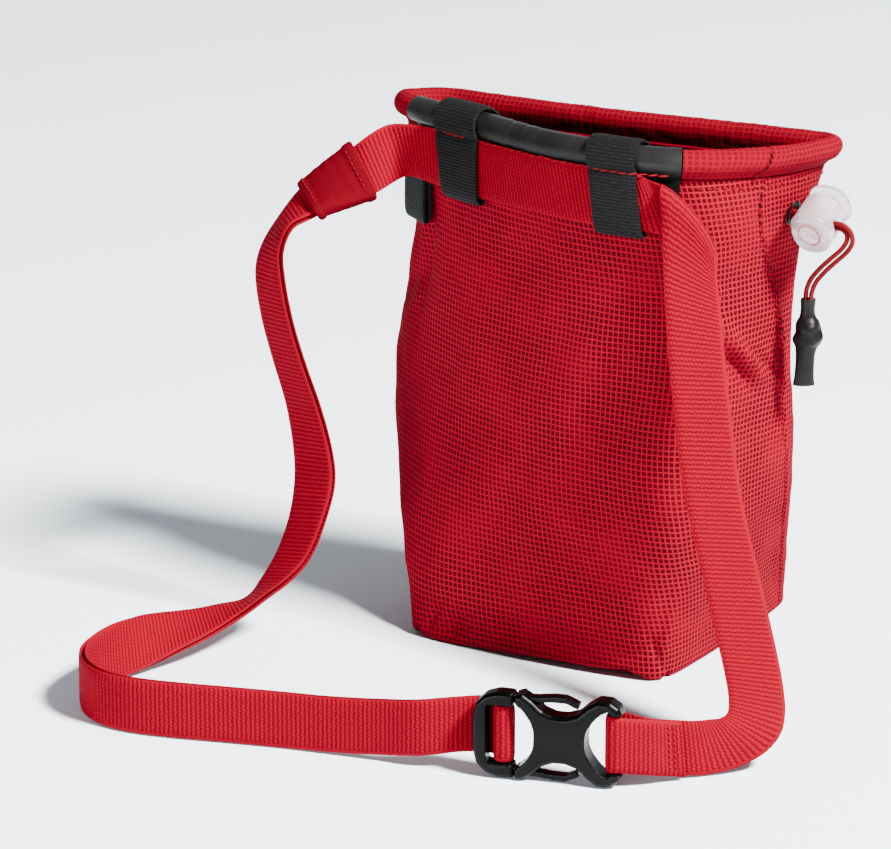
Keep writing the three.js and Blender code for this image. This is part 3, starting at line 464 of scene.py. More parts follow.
def stitches(name, points, normals, mat, long=2.4, thick=0.5, gap=0.9, slant=0.0):
    """Row of short threads along a line of points, each sunk at its ends."""
    p = np.asarray(points, float)
    n = np.asarray(normals, float)
    d = lengths(p)

    def spot(rows, x):
        return np.array([np.interp(x, d, rows[:, a]) for a in range(3)])

    verts, faces = [], []
    s = gap / 2
    while s + long < d[-1]:
        ends = [spot(p, s), spot(p, s + long)]
        up = unit(spot(n, s + long / 2))
        t = unit(ends[1] - ends[0])
        t = t * math.cos(slant) + np.cross(up, t) * math.sin(slant)
        side = np.cross(up, t)
        start = len(verts)
        for share, wide, lift in STITCH:
            c = (ends[0] + ends[1]) / 2 + t * long * share + up * thick * lift
            for k in range(STITCH_SIDES):
                a = math.pi * 2 * k / STITCH_SIDES
                verts.append((c + (side * math.cos(a) + up * math.sin(a)) * thick / 2 * wide) * MM)
        ring = range(start, start + STITCH_SIDES)
        for i in range(len(STITCH) - 1):
            for k in range(STITCH_SIDES):
                a, b = (ring[q % STITCH_SIDES] + i * STITCH_SIDES for q in (k, k + 1))
                faces.append((a, b, b + STITCH_SIDES, a + STITCH_SIDES))
        faces.append(tuple(ring)[::-1])
        faces.append(tuple(k + (len(STITCH) - 1) * STITCH_SIDES for k in ring))
        s += long + gap
    mesh = bpy.data.meshes.new(name)
    mesh.from_pydata([tuple(v) for v in verts], [], faces)
    mesh.materials.append(MAT[mat])
    finish_piece(name, mesh)


def fbm(p, scale, octaves=3):
    return noise.fractal(Vector(p) * scale, 0.9, 2.0, octaves, noise_basis="PERLIN_ORIGINAL")


# Camera, matched to the photo
PHOTO_WIDE = 891
FOCAL_PIXELS = 4500
SENSOR = 36
CAM_AT = Vector((0.72056, -1.31560, 0.53159))
HEAD = math.radians(-30.7876)
PITCH = math.radians(17.0754)
look = Vector((math.sin(HEAD) * math.cos(PITCH), math.cos(HEAD) * math.cos(PITCH), -math.sin(PITCH)))
right = Vector((math.cos(HEAD), -math.sin(HEAD), 0))
cam_data = bpy.data.cameras.new("camera")
cam_data.sensor_width = SENSOR
cam_data.lens = FOCAL_PIXELS / PHOTO_WIDE * SENSOR
cam_data.clip_start = 0.1
cam_data.clip_end = 20
cam_data.dof.use_dof = False
camera = show("camera", cam_data)
basis = Matrix((right, right.cross(look), -look)).transposed().to_4x4()
camera.matrix_world = Matrix.Translation(CAM_AT) @ basis
bpy.context.scene.camera = camera


# Lights and floor, in metres
def area(name, at, target, size, power, color=(1, 1, 1)):
    data = bpy.data.lights.new(name, "AREA")
    data.shape = "RECTANGLE"
    data.size, data.size_y = size
    data.energy = power
    data.color = color
    light = show(name, data)
    light.location = at
    light.rotation_euler = (Vector(target) - Vector(at)).to_track_quat("-Z", "Y").to_euler()


# The level ways towards the camera and across its picture.
TOWARD = Vector((0.512, -0.859, 0))
ACROSS = Vector((0.859, 0.512, 0))
FILL_AT = ACROSS * -1.15 + TOWARD * 1.15 + Vector((0, 0, 0.13))
area("key", (1.94, -0.25, 2.24), (0, 0, 0.06), (0.52, 0.52), 620, (1.0, 0.99, 0.98))
area("fill", FILL_AT, (0, 0, 0.11), (1.4, 0.2), 44, (0.96, 0.98, 1.0))
area("top", (0, 0, 1.6), (0, 0, 0), (1.4, 1.4), 2)
world = bpy.data.worlds.new("world")
world.use_nodes = True
sky = world.node_tree.nodes["Background"].inputs
sky[0].default_value = (0.86, 0.90, 0.94, 1)
sky[1].default_value = 0.12
bpy.context.scene.world = world

FLOOR_NEAR = 3.0
FLOOR_FAR = 3.4
FLOOR_HALF = 5.0
COVE = 0.9
BACK_HIGH = 3.5


def floor():
    """Paper on the floor, turned up in a wide cove far behind the bag, so that little light comes back."""
    paper = Look("floor_paper")
    paper.set(Base_Color=(0.80, 0.875, 0.93), Roughness=0.9, Specular_IOR_Level=0.1)
    turn = [(FLOOR_FAR + COVE * math.sin(a), COVE - COVE * math.cos(a)) for a in np.linspace(0.1, math.pi / 2, 16)]
    depth = [(-FLOOR_NEAR, 0.0), (FLOOR_FAR, 0.0), *turn, (FLOOR_FAR + COVE, BACK_HIGH)]
    verts, faces = [], []
    for d, z in depth:
        for a in (-FLOOR_HALF, FLOOR_HALF):
            p = TOWARD * -d + ACROSS * a
            verts.append((p.x, p.y, z))
    for i in range(len(depth) - 1):
        faces.append((2 * i, 2 * i + 1, 2 * i + 3, 2 * i + 2))
    mesh = bpy.data.meshes.new("floor")
    mesh.from_pydata(verts, [], faces)
    mesh.materials.append(paper.material)
    mesh.polygons.foreach_set("use_smooth", [True] * len(mesh.polygons))
    o = show("floor", mesh)


floor()


# Belt line, as in the part's source
# Path of a belt loop over the rim. Columns: out from the wall, up from its top.
LOOP_PATH = [
    [-4.4, -5.0], [-4.8, -1.0], [-5.7, 2.5], [-6.2, 5.9], [-4.9, 9.9], [0, 12.0], [4.9, 9.9], [6.2, 6.0],
    [5.9, 2.0], [5.7, -3.0], [5.7, -9.0], [5.7, -14.5], [5.2, -17.3], [3.9, -18.5], [2.7, -17.5],
    [2.25, -15.0], [2.25, -8.0], [2.25, -2.5],
]
# Runs of the belt. Columns: x, y, z of its middle, then the way of its width.
RIGHT_RUN = [
    [90.2, -133.2, 13.6, 0.0, 0.0, -1.0], [94.8, -125.5, 11.4, 0.05, 0.03, -1.0],
    [101.2, -118.3, 10.0, 0.12, 0.07, -0.99], [106.7, -111.6, 10.4, 0.4, 0.24, -0.88],
    [111.2, -106.5, 12.4, 0.66, 0.4, -0.64], [113.0, -102.0, 15.6, 0.8, 0.47, -0.37],
    [111.9, -98.3, 20.0, 0.84, 0.5, -0.22], [109.1, -94.5, 25.2, 0.85, 0.5, -0.14],
    [104.8, -90.0, 32.2, 0.86, 0.51, -0.08], [97.0, -83.0, 44.9, 0.86, 0.51, -0.04],
    [89.5, -76.6, 58.0, 0.86, 0.51, -0.04], [81.6, -70.6, 73.0, 0.86, 0.51, -0.04],
    [74.9, -65.0, 90.0, 0.86, 0.51, -0.04], [69.9, -60.0, 106.0, 0.86, 0.51, -0.02],
    [65.2, -55.6, 121.0, 0.86, 0.51, -0.02], [61.2, -51.9, 135.0, 0.86, 0.51, -0.06],
]
LEFT_RUN = [
    [-68.6, -22.4, 165.6, 0.38, -0.04, -0.92], [-72.2, -26.2, 163.6, 0.44, -0.04, -0.89],
    [-76.7, -32.6, 159.4, 0.62, -0.22, -0.75], [-82.2, -38.5, 155.2, 0.74, -0.41, -0.53],
    [-88.2, -44.4, 150.7, 0.74, -0.6, -0.3], [-92.0, -48.4, 146.8, 0.72, -0.68, -0.13],
    [-95.4, -52.1, 142.6, 0.66, -0.74, 0.03], [-98.2, -56.2, 134.4, 0.76, -0.64, 0.08],
    [-98.1, -58.5, 126.2, 0.86, -0.5, 0.08], [-94.6, -59.9, 110.9, 0.89, -0.44, 0.1],
    [-89.4, -60.0, 95.2, 0.91, -0.41, 0.1], [-83.9, -59.9, 80.4, 0.92, -0.36, 0.11],
    [-79.6, -60.7, 63.9, 0.96, -0.25, 0.12], [-78.4, -62.1, 54.0, 0.96, -0.22, 0.14],
    [-79.6, -65.2, 41.2, 0.93, -0.3, 0.2], [-82.8, -70.0, 28.0, 0.92, -0.34, 0.22],
    [-87.0, -75.2, 19.8, 0.84, -0.45, 0.28], [-90.6, -79.6, 15.0, 0.72, -0.62, 0.3],
    [-93.4, -84.4, 12.2, 0.66, -0.73, 0.2], [-97.0, -92.4, 10.6, 0.66, -0.75, 0.0],
    [-100.6, -102.4, 9.6, 0.66, -0.72, -0.2], [-105.0, -114.2, 9.4, 0.6, -0.64, -0.46],
    [-109.0, -126.0, 9.4, 0.42, -0.44, -0.78], [-111.6, -138.4, 9.7, 0.16, -0.16, -0.97],
    [-111.6, -151.0, 9.9, 0.0, 0.0, -1.0], [-108.2, -162.6, 9.9, 0.0, 0.0, -1.0],
    [-100.8, -172.0, 9.9, 0.0, 0.0, -1.0], [-90.6, -177.9, 9.9, 0.0, 0.0, -1.0],
    [-78.6, -179.2, 9.9, 0.0, 0.0, -1.0], [-64.0, -176.4, 9.9, 0.0, 0.0, -1.0],
    [-46.0, -170.9, 9.9, 0.0, 0.0, -1.0], [-28.0, -165.6, 9.9, 0.0, 0.0, -1.0],
    [-10.0, -161.6, 10.3, 0.0, 0.0, -1.0], [8.0, -158.2, 11.8, 0.0, 0.0, -1.0],
    [21.0, -156.6, 13.6, 0.0, 0.0, -1.0],
]
# Lines across the belt at its fold. Columns: forward, along and height of one edge, then of the other.
FOLD_RULES = [
    [4.4, 2.8, 148.0, 4.6, 21.6, 139.0], [4.2, 2.4, 157.5, 4.4, 21.6, 142.0],
    [3.8, 1.8, 165.0, 4.3, 21.5, 144.5], [3.2, 1.2, 170.5, 4.1, 21.3, 146.2],
    [2.4, 1.4, 173.2, 3.6, 21.6, 147.4], [1.2, 1.8, 174.3, 2.6, 22.1, 148.2],
    [0.0, 1.3, 174.4, 1.6, 21.5, 148.1], [-0.9, -0.2, 174.6, 1.2, 19.4, 148.1],
    [-2.4, -2.6, 175.3, 1.9, 13.0, 151.8], [-4.0, -5.6, 176.5, 1.5, 3.0, 157.4],
]
# The belt's turns in the two halves of the buckle. Columns: along the buckle, forward.
LADDER_TURN = [
    [-6, -2.8], [-1, -4.6], [3.4, -4.9], [6.0, -4.0], [6.9, -1.2], [7.8, 1.6], [9.9, 2.4], [12.0, 1.7],
    [12.9, -0.6], [12.0, -2.9], [9.9, -4.2], [7.6, -5.6], [3.4, -6.5], [-1, -6.2],
]
BAR_TURN = [
    [-0.7, 2.3], [-1.9, 2.6], [-3.3, 2.7], [-4.9, 2.1], [-5.6, 0], [-4.9, -2.1], [-3.3, -2.7],
    [-0.1, -3.0],
]
# The cord after the lock. Columns: x, y, z from the middle of the lock's hole.
CORD_TURN = [
    [7.8, 0, 0], [9.6, 0, -0.3], [11.6, 0, -1.9], [12.1, 0, -4.6], [10.4, 0, -7.8], [6.6, 0, -11.6],
    [2.4, 0, -15.8], [-1.0, 0, -20.2], [-2.4, 0, -24.0],
]
# The sleeve's section. Columns: share of its length, half width, half depth, shift.
CORD_END = [
    [0.0, 2.6, 1.9, 0.0], [0.11, 2.4, 1.9, -0.1], [0.18, 2.6, 2.2, -0.1], [0.26, 3.9, 3.4, 0.1],
    [0.34, 4.7, 4.0, 0.2], [0.42, 4.9, 4.1, 0.2], [0.5, 4.5, 3.5, 0.1], [0.58, 3.5, 2.5, -0.4],
    [0.7, 3.2, 2.0, -0.6], [0.88, 3.3, 1.7, -0.8], [1.0, 3.7, 1.6, -0.9],
]
PANEL_PLACES = [3.62, 3.35, 3.0, 2.6, 2.2, 1.9, 1.65, 1.42]
BUCKLE_AT = np.array([37.6, -151.8, 0.0])
BUCKLE_TURN = math.radians(16)
ALONG = np.array([math.cos(BUCKLE_TURN), math.sin(BUCKLE_TURN), 0.0])
FORWARD = np.array([ALONG[1], -ALONG[0], 0.0])
FOLD_AT = np.array([47, -50.6, 0.0])
FOLD_ALONG = np.array([0.87, 0.493, 0.0])
FOLD_FORWARD = np.array([0.493, -0.87, 0.0])
BELT_BELOW_TOP = 7.0
PER = 12


def normal_at(at, z):
    n = plan_normal(at, z)
    return np.concatenate([n, np.zeros(n.shape[:-1] + (1,))], -1)


def ladder(rows):
    pairs = []
    for a, b in rows:
        c = BUCKLE_AT + ALONG * a + FORWARD * b
        pairs.append([[c[0], c[1], BUCKLE_TALL / 2 + s * WEB_WIDE / 2] for s in (1, -1)])
    return pairs


def from_rows(rows):
    pairs = []
    for x, y, z, a, b, c in rows:
        w = unit(np.array([a, b, c])) * WEB_WIDE / 2
        pairs.append([np.array([x, y, z]) - w, np.array([x, y, z]) + w])
    return pairs


def in_fold(row):
    ends = []
    for d, a, z in (row[:3], row[3:]):
        p = FOLD_AT + FOLD_ALONG * a + FOLD_FORWARD * d
        ends.append([p[0], p[1], z])
    return ends


def on_panel(place, out):
    z = float(wall_top(place)) - BELT_BELOW_TOP
    return [wall(place, z + s * WEB_WIDE / 2, out) for s in (1, -1)]


def run_of(pairs):
    """Smooth run of edge pairs, with PER steps from each pair to the next."""
    p = np.array(pairs, float)
    t = np.linspace(0, 1, (len(p) - 1) * PER + 1)
    return np.stack([spline(p[:, 0], t), spline(p[:, 1], t)], 1)


def face_normals(run):
    return unit(np.cross(np.gradient(run.mean(1), axis=0), run[:, 1] - run[:, 0]))


def smoothed(a, width):
    """Moving average along the first axis, with the ends kept."""
    k = np.ones(2 * width + 1) / (2 * width + 1)
    pad = np.concatenate([np.repeat(a[:1], width, 0), a, np.repeat(a[-1:], width, 0)])
    flat = pad.reshape(len(pad), -1)
    return np.stack([np.convolve(column, k, "valid") for column in flat.T], 1).reshape(a.shape)


panel = [on_panel(place, BELT_OUT + (0.4 if place < 1.5 else 0)) for place in PANEL_PLACES]
main_pairs = (
    ladder([(BUCKLE_LONG + BAR_TURN[-1][0], BAR_TURN[-1][1])])
    + from_rows(RIGHT_RUN)
    + [in_fold(row) for row in FOLD_RULES]
    + panel
    + from_rows(LEFT_RUN)
    + ladder(LADDER_TURN[:1])
)
main_run = run_of(main_pairs)
# The strap hangs in one slack curve towards its fold.
lean = slice((len(RIGHT_RUN) - 3) * PER, (len(RIGHT_RUN) + 4) * PER)
eased = smoothed(main_run, 24)
ramp_in = np.minimum(1, np.minimum(np.arange(7 * PER), np.arange(7 * PER)[::-1]) / 14)[:, None, None]
main_run[lean] += (eased[lean] - main_run[lean]) * ramp_in
main_normals = unit(smoothed(face_normals(main_run), 4))
KEEPER_ROW = 1 + len(RIGHT_RUN) + len(FOLD_RULES) + len(PANEL_PLACES) + 4
step_off = (main_normals * LAYER_STEP)[:, None, :]
sewn = (main_run - step_off)[PER:int(2.5 * PER) + 1][::-1]
bar_run = run_of(ladder([(BUCKLE_LONG + a, b) for a, b in BAR_TURN]))[4:-1]
ladder_run = run_of(ladder(LADDER_TURN))[1:]
tail_from = int((KEEPER_ROW - 0.5) * PER)
tail = (main_run + step_off)[tail_from:-PER // 2][::-1]
belt_run = np.concatenate([sewn, bar_run, main_run, ladder_run, tail])


# Half of the strap's rounded section. Columns: share of its half width, inset, share of its half thickness.
STRAP_HALF = [
    (-1, 0.45, 0.62), (-0.75, 0, 1), (-0.4, 0, 1), (0, 0, 1), (0.4, 0, 1), (0.75, 0, 1), (1, -0.45, 0.62),
]


def strap_rings(run, thick, normals, bow):
    """Closed rounded section along a run of edge pairs. The middle of its width is moved by the bow."""
    across = run[:, 1] - run[:, 0]
    half = np.linalg.norm(across, axis=1, keepdims=True) / 2
    across = across / (2 * half)
    top = [(s, e, k * thick / 2) for s, e, k in STRAP_HALF]
    ring = top + [(1, -0.05, 0)] + [(s, e, -k) for s, e, k in top[::-1]] + [(-1, 0.05, 0)]
    return np.stack([
        run.mean(1) + across * (share * half + inset) + normals * up + bow * (1 - share ** 2)
        for share, inset, up in ring
    ], 1)


# Drawcord, lock side
EYELET_PLACE = 5.8
EYELET_HIGH = 0.867 * HOOP_HEIGHT
LOCK_LONG = 14
LOCK_OUT = 10.6
LOCK_DROP = 2
LOCK_DIP = math.radians(25.1)
CORD_DROP = 26.5
face = wall(EYELET_PLACE, EYELET_HIGH, 0)
face_normal = normal_at(EYELET_PLACE, EYELET_HIGH)
cord_middle = face + np.array([LOCK_OUT, -LOCK_DROP, -LOCK_DROP])
lock_axis = np.array([0, -math.cos(LOCK_DIP), -math.sin(LOCK_DIP)])
SIDE = np.array([1.0, 0, 0])
end_top = cord_middle + np.array([-2.6, 0, -CORD_DROP])
cord_path = np.array(
    [face + face_normal * 0.9, cord_middle - SIDE * (LOCK_WIDE / 2 + 0.4), cord_middle - SIDE * LOCK_WIDE / 4,
     cord_middle + SIDE * LOCK_WIDE / 4]
    + [cord_middle + np.array(p) for p in CORD_TURN]
    + [end_top + np.array([0, 0, 0.5]), end_top + np.array([0, 0, -2.4])]
)
sleeve_side = np.array([0.859, 0.512, 0])
sleeve_deep = np.array([0.512, -0.859, 0])


def sleeve():
    table = spline(np.array(CORD_END), np.linspace(0, 1, 70))
    rings = []
    for share, wide, thick, shift in table:
        z = end_top[2] - share * CORD_END_LONG
        c = np.array([end_top[0], end_top[1], 0]) + sleeve_side * shift
        ring = []
        for k in range(36):
            a = 2 * math.pi * k / 36
            knot = math.exp(-((share - 0.42) / 0.14) ** 2)
            lump = 0.55 * knot * math.sin(2 * a + 14 * share) + 0.3 * knot * math.sin(3 * a - 30 * share)
            pinch = 0.1 * math.exp(-((share - 0.2) / 0.06) ** 2) * math.sin(7 * a)
            r = 1 + (lump + pinch) * 0.22
            p = c + sleeve_side * wide * r * math.cos(a) + sleeve_deep * thick * r * math.sin(a)
            ring.append([p[0], p[1], z])
        rings.append(ring)
    g = np.array(rings)
    lips = []
    for share, scale, drop in ((1, 0.9, 0.15), (1, 0.72, -0.3), (1, 0.66, -2.0)):
        base = g[-1].mean(0)
        lips.append(base + (g[-1] - base) * scale + np.array([0, 0, -drop]))
    top = []
    base = g[0].mean(0)
    for scale, rise in ((0.80, -1.2), (0.84, 0.1), (0.95, 0.15)):
        top.append(base + (g[0] - base) * scale + np.array([0, 0, rise]))
    g = np.concatenate([np.array(top), g, np.array(lips)])
    return make("cord_end_sleeve", g, "sleeve", replaces=["cord_end"])


end_piece = sleeve()


def strand(side, name, node):
    fine = even(cord_path, 150)
    t = unit(np.gradient(fine, axis=0))
    flat = unit(lock_axis - t * (t @ lock_axis)[:, None])
    upward = np.cross(flat, t)
    c = fine + upward * side * (STRAND + GAP) / 2
    angles = np.linspace(0, 2 * math.pi, 14, endpoint=False)
    r = STRAND / 2
    rings = (c[:, None] + (upward[:, None] * np.cos(angles)[None, :, None]
                           + flat[:, None] * np.sin(angles)[None, :, None]) * r)
    length = lengths(c)[-1]
    obj = make(name, rings, "cord", replaces=[node])
    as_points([tuple(p * MM) for p in c[::3]] + [tuple(c[-1] * MM)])


strand(1, "cord_strand_one", "draw_cord_strand_1")
strand(-1, "cord_strand_two", "draw_cord_strand_2")


def grommet():
    ends = [wall(EYELET_PLACE + k, EYELET_HIGH, 0) for k in (0.05, -0.05)]
    wide = np.linalg.norm(ends[0] - ends[1]) / 0.1
    rings = []
    for i in range(48):
        a = 2 * math.pi * i / 48
        ring = []
        for k in range(10):
            b = 2 * math.pi * k / 10
            out = 0.8 + 0.42 * math.sin(b)
            ra, rb = 2.65 + 0.68 * math.cos(b), 3.45 + 0.68 * math.cos(b)
            ring.append(wall(EYELET_PLACE + ra * math.cos(a) / wide, EYELET_HIGH + rb * math.sin(a), out))
        rings.append(ring)
    make("eyelet_ring", rings, "plastic", replaces=["cord_eyelet"], closed=True)


grommet()


# Moulded pieces, from the part's own solids
def moulded(node, name, mat, voxel, passes, body="bag"):
    """A solid of the part with its edges softened."""
    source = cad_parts[node]
    mesh = source.data.copy()
    mesh.transform(source.matrix_world)
    mesh.materials.clear()
    obj = show(name + "_work", mesh)
    mod = obj.modifiers.new("remesh", "REMESH")
    mod.mode = "VOXEL"
    mod.voxel_size = voxel * MM
    soft = obj.modifiers.new("smooth", "SMOOTH")
    soft.factor = 0.5
    soft.iterations = passes
    done = bpy.data.meshes.new_from_object(obj.evaluated_get(bpy.context.evaluated_depsgraph_get()))
    bpy.data.objects.remove(obj)
    bpy.data.meshes.remove(mesh)
    done.name = name
    done.materials.clear()
    done.materials.append(MAT[mat])
    return finish_piece(name, done, [node], body, normals=False)


moulded("buckle_plug", "buckle_plug_body", "plastic", 0.4, 4)
moulded("buckle_socket", "buckle_socket_body", "plastic", 0.4, 4)
barrel = moulded("cord_lock_barrel", "lock_barrel_body", "clear", 0.24, 3)


def ring_face(obj):
    """The ring round the plunger's bore on the near face, sunk as a groove, with the cord's red painted into it as
    a painted refraction of the cord behind.
    """
    near = cord_middle + lock_axis * LOCK_LONG / 2
    painted_cord_red = obj.data.attributes.new("painted_cord_red", "FLOAT", "POINT")
    for i, v in enumerate(obj.data.vertices):
        p = np.array(v.co) / MM
        s = float((near - p) @ lock_axis)
        r = float(np.linalg.norm(p - near + lock_axis * s))
        if s < 1.6:
            groove = math.exp(-((r - 3.9) / 0.28) ** 2)
            ridge = 0.3 * math.exp(-((r - 4.8) / 0.4) ** 2) + 0.2 * math.exp(-((r - 1.5) / 0.4) ** 2)
            depth = (0.75 * groove - ridge) * max(0.0, 1 - s / 1.6)
            v.co = (p - lock_axis * depth) * MM
            # Painted refraction: the groove is marked to take the cord's red.
            painted_cord_red.data[i].value = min(1.0, groove * 1.3)


ring_face(barrel)
moulded("cord_lock_plunger", "lock_plunger_body", "clear", 0.28, 3, "plunger")


# Bag wall, lining and facing
AROUND = 400
places = np.linspace(0, 12, AROUND, endpoint=False)

# Soft wrinkles on the cloth, with the columns of FOLDS.
WRINKLES = [
    (5.43, 0.592, 11, 1.3, -50, -2.7),
    (5.52, 0.607, 13, 2.2, -50, 1.8),
    (5.34, 0.572, 9, 1.8, -50, 1.1),
    (5.75, 0.60, 13, 1.6, -38, 0.9),
    (5.85, 0.57, 12, 1.6, -30, -0.8),
    (5.9, 0.545, 12, 1.8, -24, 0.7),
    (5.3, 0.72, 12, 1.6, 70, -0.6),
    (5.0, 0.76, 10, 1.5, -20, 0.5),
    (5.1, 0.67, 10, 1.8, 35, -0.7),
    (6.1, 0.47, 16, 2.5, -30, 0.5),
    (0.9, 0.78, 15, 1.8, 80, 0.7),
    (1.1, 0.76, 15, 1.6, 84, -0.8),
    (0.75, 0.60, 12, 2.0, 55, 0.6),
    (1.45, 0.70, 12, 3.0, 70, 0.5),
    (4.6, 0.80, 12, 2.4, 75, -0.6),
    (4.3, 0.74, 18, 3.0, -62, 0.5),
    (2.9, 0.45, 34, 6.0, 58, 0.9),
    (3.55, 0.57, 48, 11.0, 48, -1.5),
    (3.15, 0.63, 40, 9.0, 50, 1.0),
    (2.5, 0.33, 36, 7.0, 56, -0.8),
    (3.3, 0.60, 28, 6.0, 62, -0.7),
    (1.9, 0.55, 26, 6.0, 66, 0.6),
    (1.95, 0.045, 7, 1.6, 68, -1.0),
    (2.35, 0.04, 6, 1.6, 108, 0.7),
    (3.6, 0.06, 9, 1.8, 40, -0.7),
    (4.05, 0.05, 8, 1.6, 118, -0.8),
    (4.5, 0.1, 14, 2.0, 84, 0.6),
    (5.3, 0.06, 9, 2.0, 60, -0.6),
    (5.9, 0.1, 11, 2.2, 100, -0.6),
]


def grain_out(at, z):
    """Slow unevenness of slack cloth, strongest in the middle of the height."""
    p = plan_point(at, z)
    share = np.clip(z / HOOP_HEIGHT, 0, 1)
    flat = np.concatenate([p, z[..., None]], -1).reshape(-1, 3)
    slow = np.array([fbm(q, 0.022) for q in flat]).reshape(z.shape)
    quick = np.array([fbm(q + 300, 0.07, 2) for q in flat]).reshape(z.shape)
    calm = np.clip(share / 0.12, 0, 1) * np.clip((0.93 - share) / 0.12, 0, 1)
    return (slow * 1.1 + quick * 0.28) * calm


def seam_place(z):
    """The side seam starts under the rim's seam and leans back on its way down."""
    return np.interp(z, [0, 110, 130, 148, 166, 175], [6.1, 5.95, 5.8, 5.58, 5.24, 5.15])


def seam_out(at, z):
    """The side seam: a narrow welt with a shallow groove beside it."""
    here = seam_place(z)
    mm = np.linalg.norm(plan_point(here, z) - plan_point(at, z), axis=-1) * np.sign(at - here)
    near = np.abs(at - here) < 0.6
    return np.where(near, 0.45 * np.exp(-((mm - 1.4) / 1.3) ** 2) - 0.5 * np.exp(-((mm + 0.5) / 0.6) ** 2), 0)


def shell_piece():
    levels = np.concatenate([np.linspace(0.02, 0.12, 18), np.linspace(0.127, 0.9, 118), np.linspace(0.907, 1, 14)])
    tops = wall_top(places)
    z = levels[:, None] * tops
    at = np.broadcast_to(places, z.shape)
    soft = fold_out(at, z) + relief(WRINKLES, at, z) + grain_out(at, z) + seam_out(at, z)
    outer = wall(at, z, soft)
    # The lower edge stands a little off the floor in places.
    rise = 2.6 * np.exp(-((places - 2.95) / 0.55) ** 2) + 1.7 * np.exp(-((places - 4.78) / 0.16) ** 2)
    rise += 3.2 * np.exp(-((places - 1.15) / 0.5) ** 2) + 1.0 * np.exp(-((places - 5.6) / 0.3) ** 2)
    rise += 0.25 * (np.sin(places * 11) + np.sin(places * 17 + 1)) * np.clip(rise, 0, 1)
    foot = []
    for zz, out in ((0.0, -3.2), (0.0, -1.6), (0.35, -0.75), (1.0, -0.2), (2.0, 0.0)):
        foot.append(wall(places, np.full(AROUND, zz), out))
    zi = np.linspace(1, 0.08, 16)[:, None] * tops
    inner = wall(places, zi, fold_out(places, zi) - CLOTH)
    base = wall(places, np.full(AROUND, CLOTH), -CLOTH - 1.2)
    g = np.concatenate([np.array(foot), outer, inner, base[None]])
    weight = np.clip(1 - g[..., 2] / 26, 0, 1) ** 1.5
    weight[len(foot) + len(levels):] = 0
    g[..., 2] += rise[None, :] * weight
    u = lengths(np.concatenate([g, g[:, :1]], 1), 1)
    start = int(2.6 / 12 * AROUND)
    u -= u[:, start:start + 1]
    v = np.concatenate([g[..., 2], g[:, :1, 2]], 1)
    seam = np.concatenate([places, [12.0]])[None, :] > seam_place(v)
    uv = np.stack([u + np.where(seam, 1.1, 0), v + np.where(seam, 0.9, 0)], -1)
    make("bag_cloth", g, "shell", replaces=["bag_shell"], uv=uv)


shell_piece()


def lining_piece():
    out = -CLOTH - GAP - 0.3
    tops = wall_top(places)
    rings = []
    for share in np.linspace(0.06, 1, 24):
        z = share * tops
        rings.append(wall(places, z, out + fold_out(places, z)))
    for share in np.linspace(1, 0.06, 40):
        z = share * tops
        wrinkle = 0.5 * np.sin(places * 9 + z * 0.05) * np.clip((0.93 - share) / 0.2, 0, 1)
        rings.append(wall(places, z, out - LINING - 0.3 + fold_out(places, z) + np.minimum(wrinkle, 0)))
    rings.append(wall(places, np.full(AROUND, 4.2), out - LINING - 1.2))
    make("lining_cloth", rings, "fleece", replaces=["bag_lining"])


lining_piece()


def facing_piece():
    """Red band inside the mouth, stitched along its lower edge."""
    tops = wall_top(places)
    out = -CLOTH - GAP - 0.3 - LINING - 0.45
    profile = [(0.8, -0.35), (0.8, 0), (0, 0.02), (-0.6, 0.0), (-1.2, 0.12), (-1.5, -0.15), (-1.2, -0.45),
               (-0.6, -0.42), (0, -0.45), (0.2, -0.6)]
    rings = []
    for place, top in zip(places, tops):
        rings.append([wall(place, top + up, out + d + 0.1 * math.sin(place * 23) - 0.2) for up, d in profile])
    make("mouth_facing", rings, "rim", closed=True)
    z = tops - 0.6
    line = wall(places, z, out - 0.75)
    stitches("facing_stitches", line, -normal_at(places, z), "thread_dark", 2.2, 0.55, 0.8)


facing_piece()


# Rim
GRIP_FROM = 0.85
GRIP_TO = 4.06
END_GAP = 0.012
RIM_SEAM = 4.95


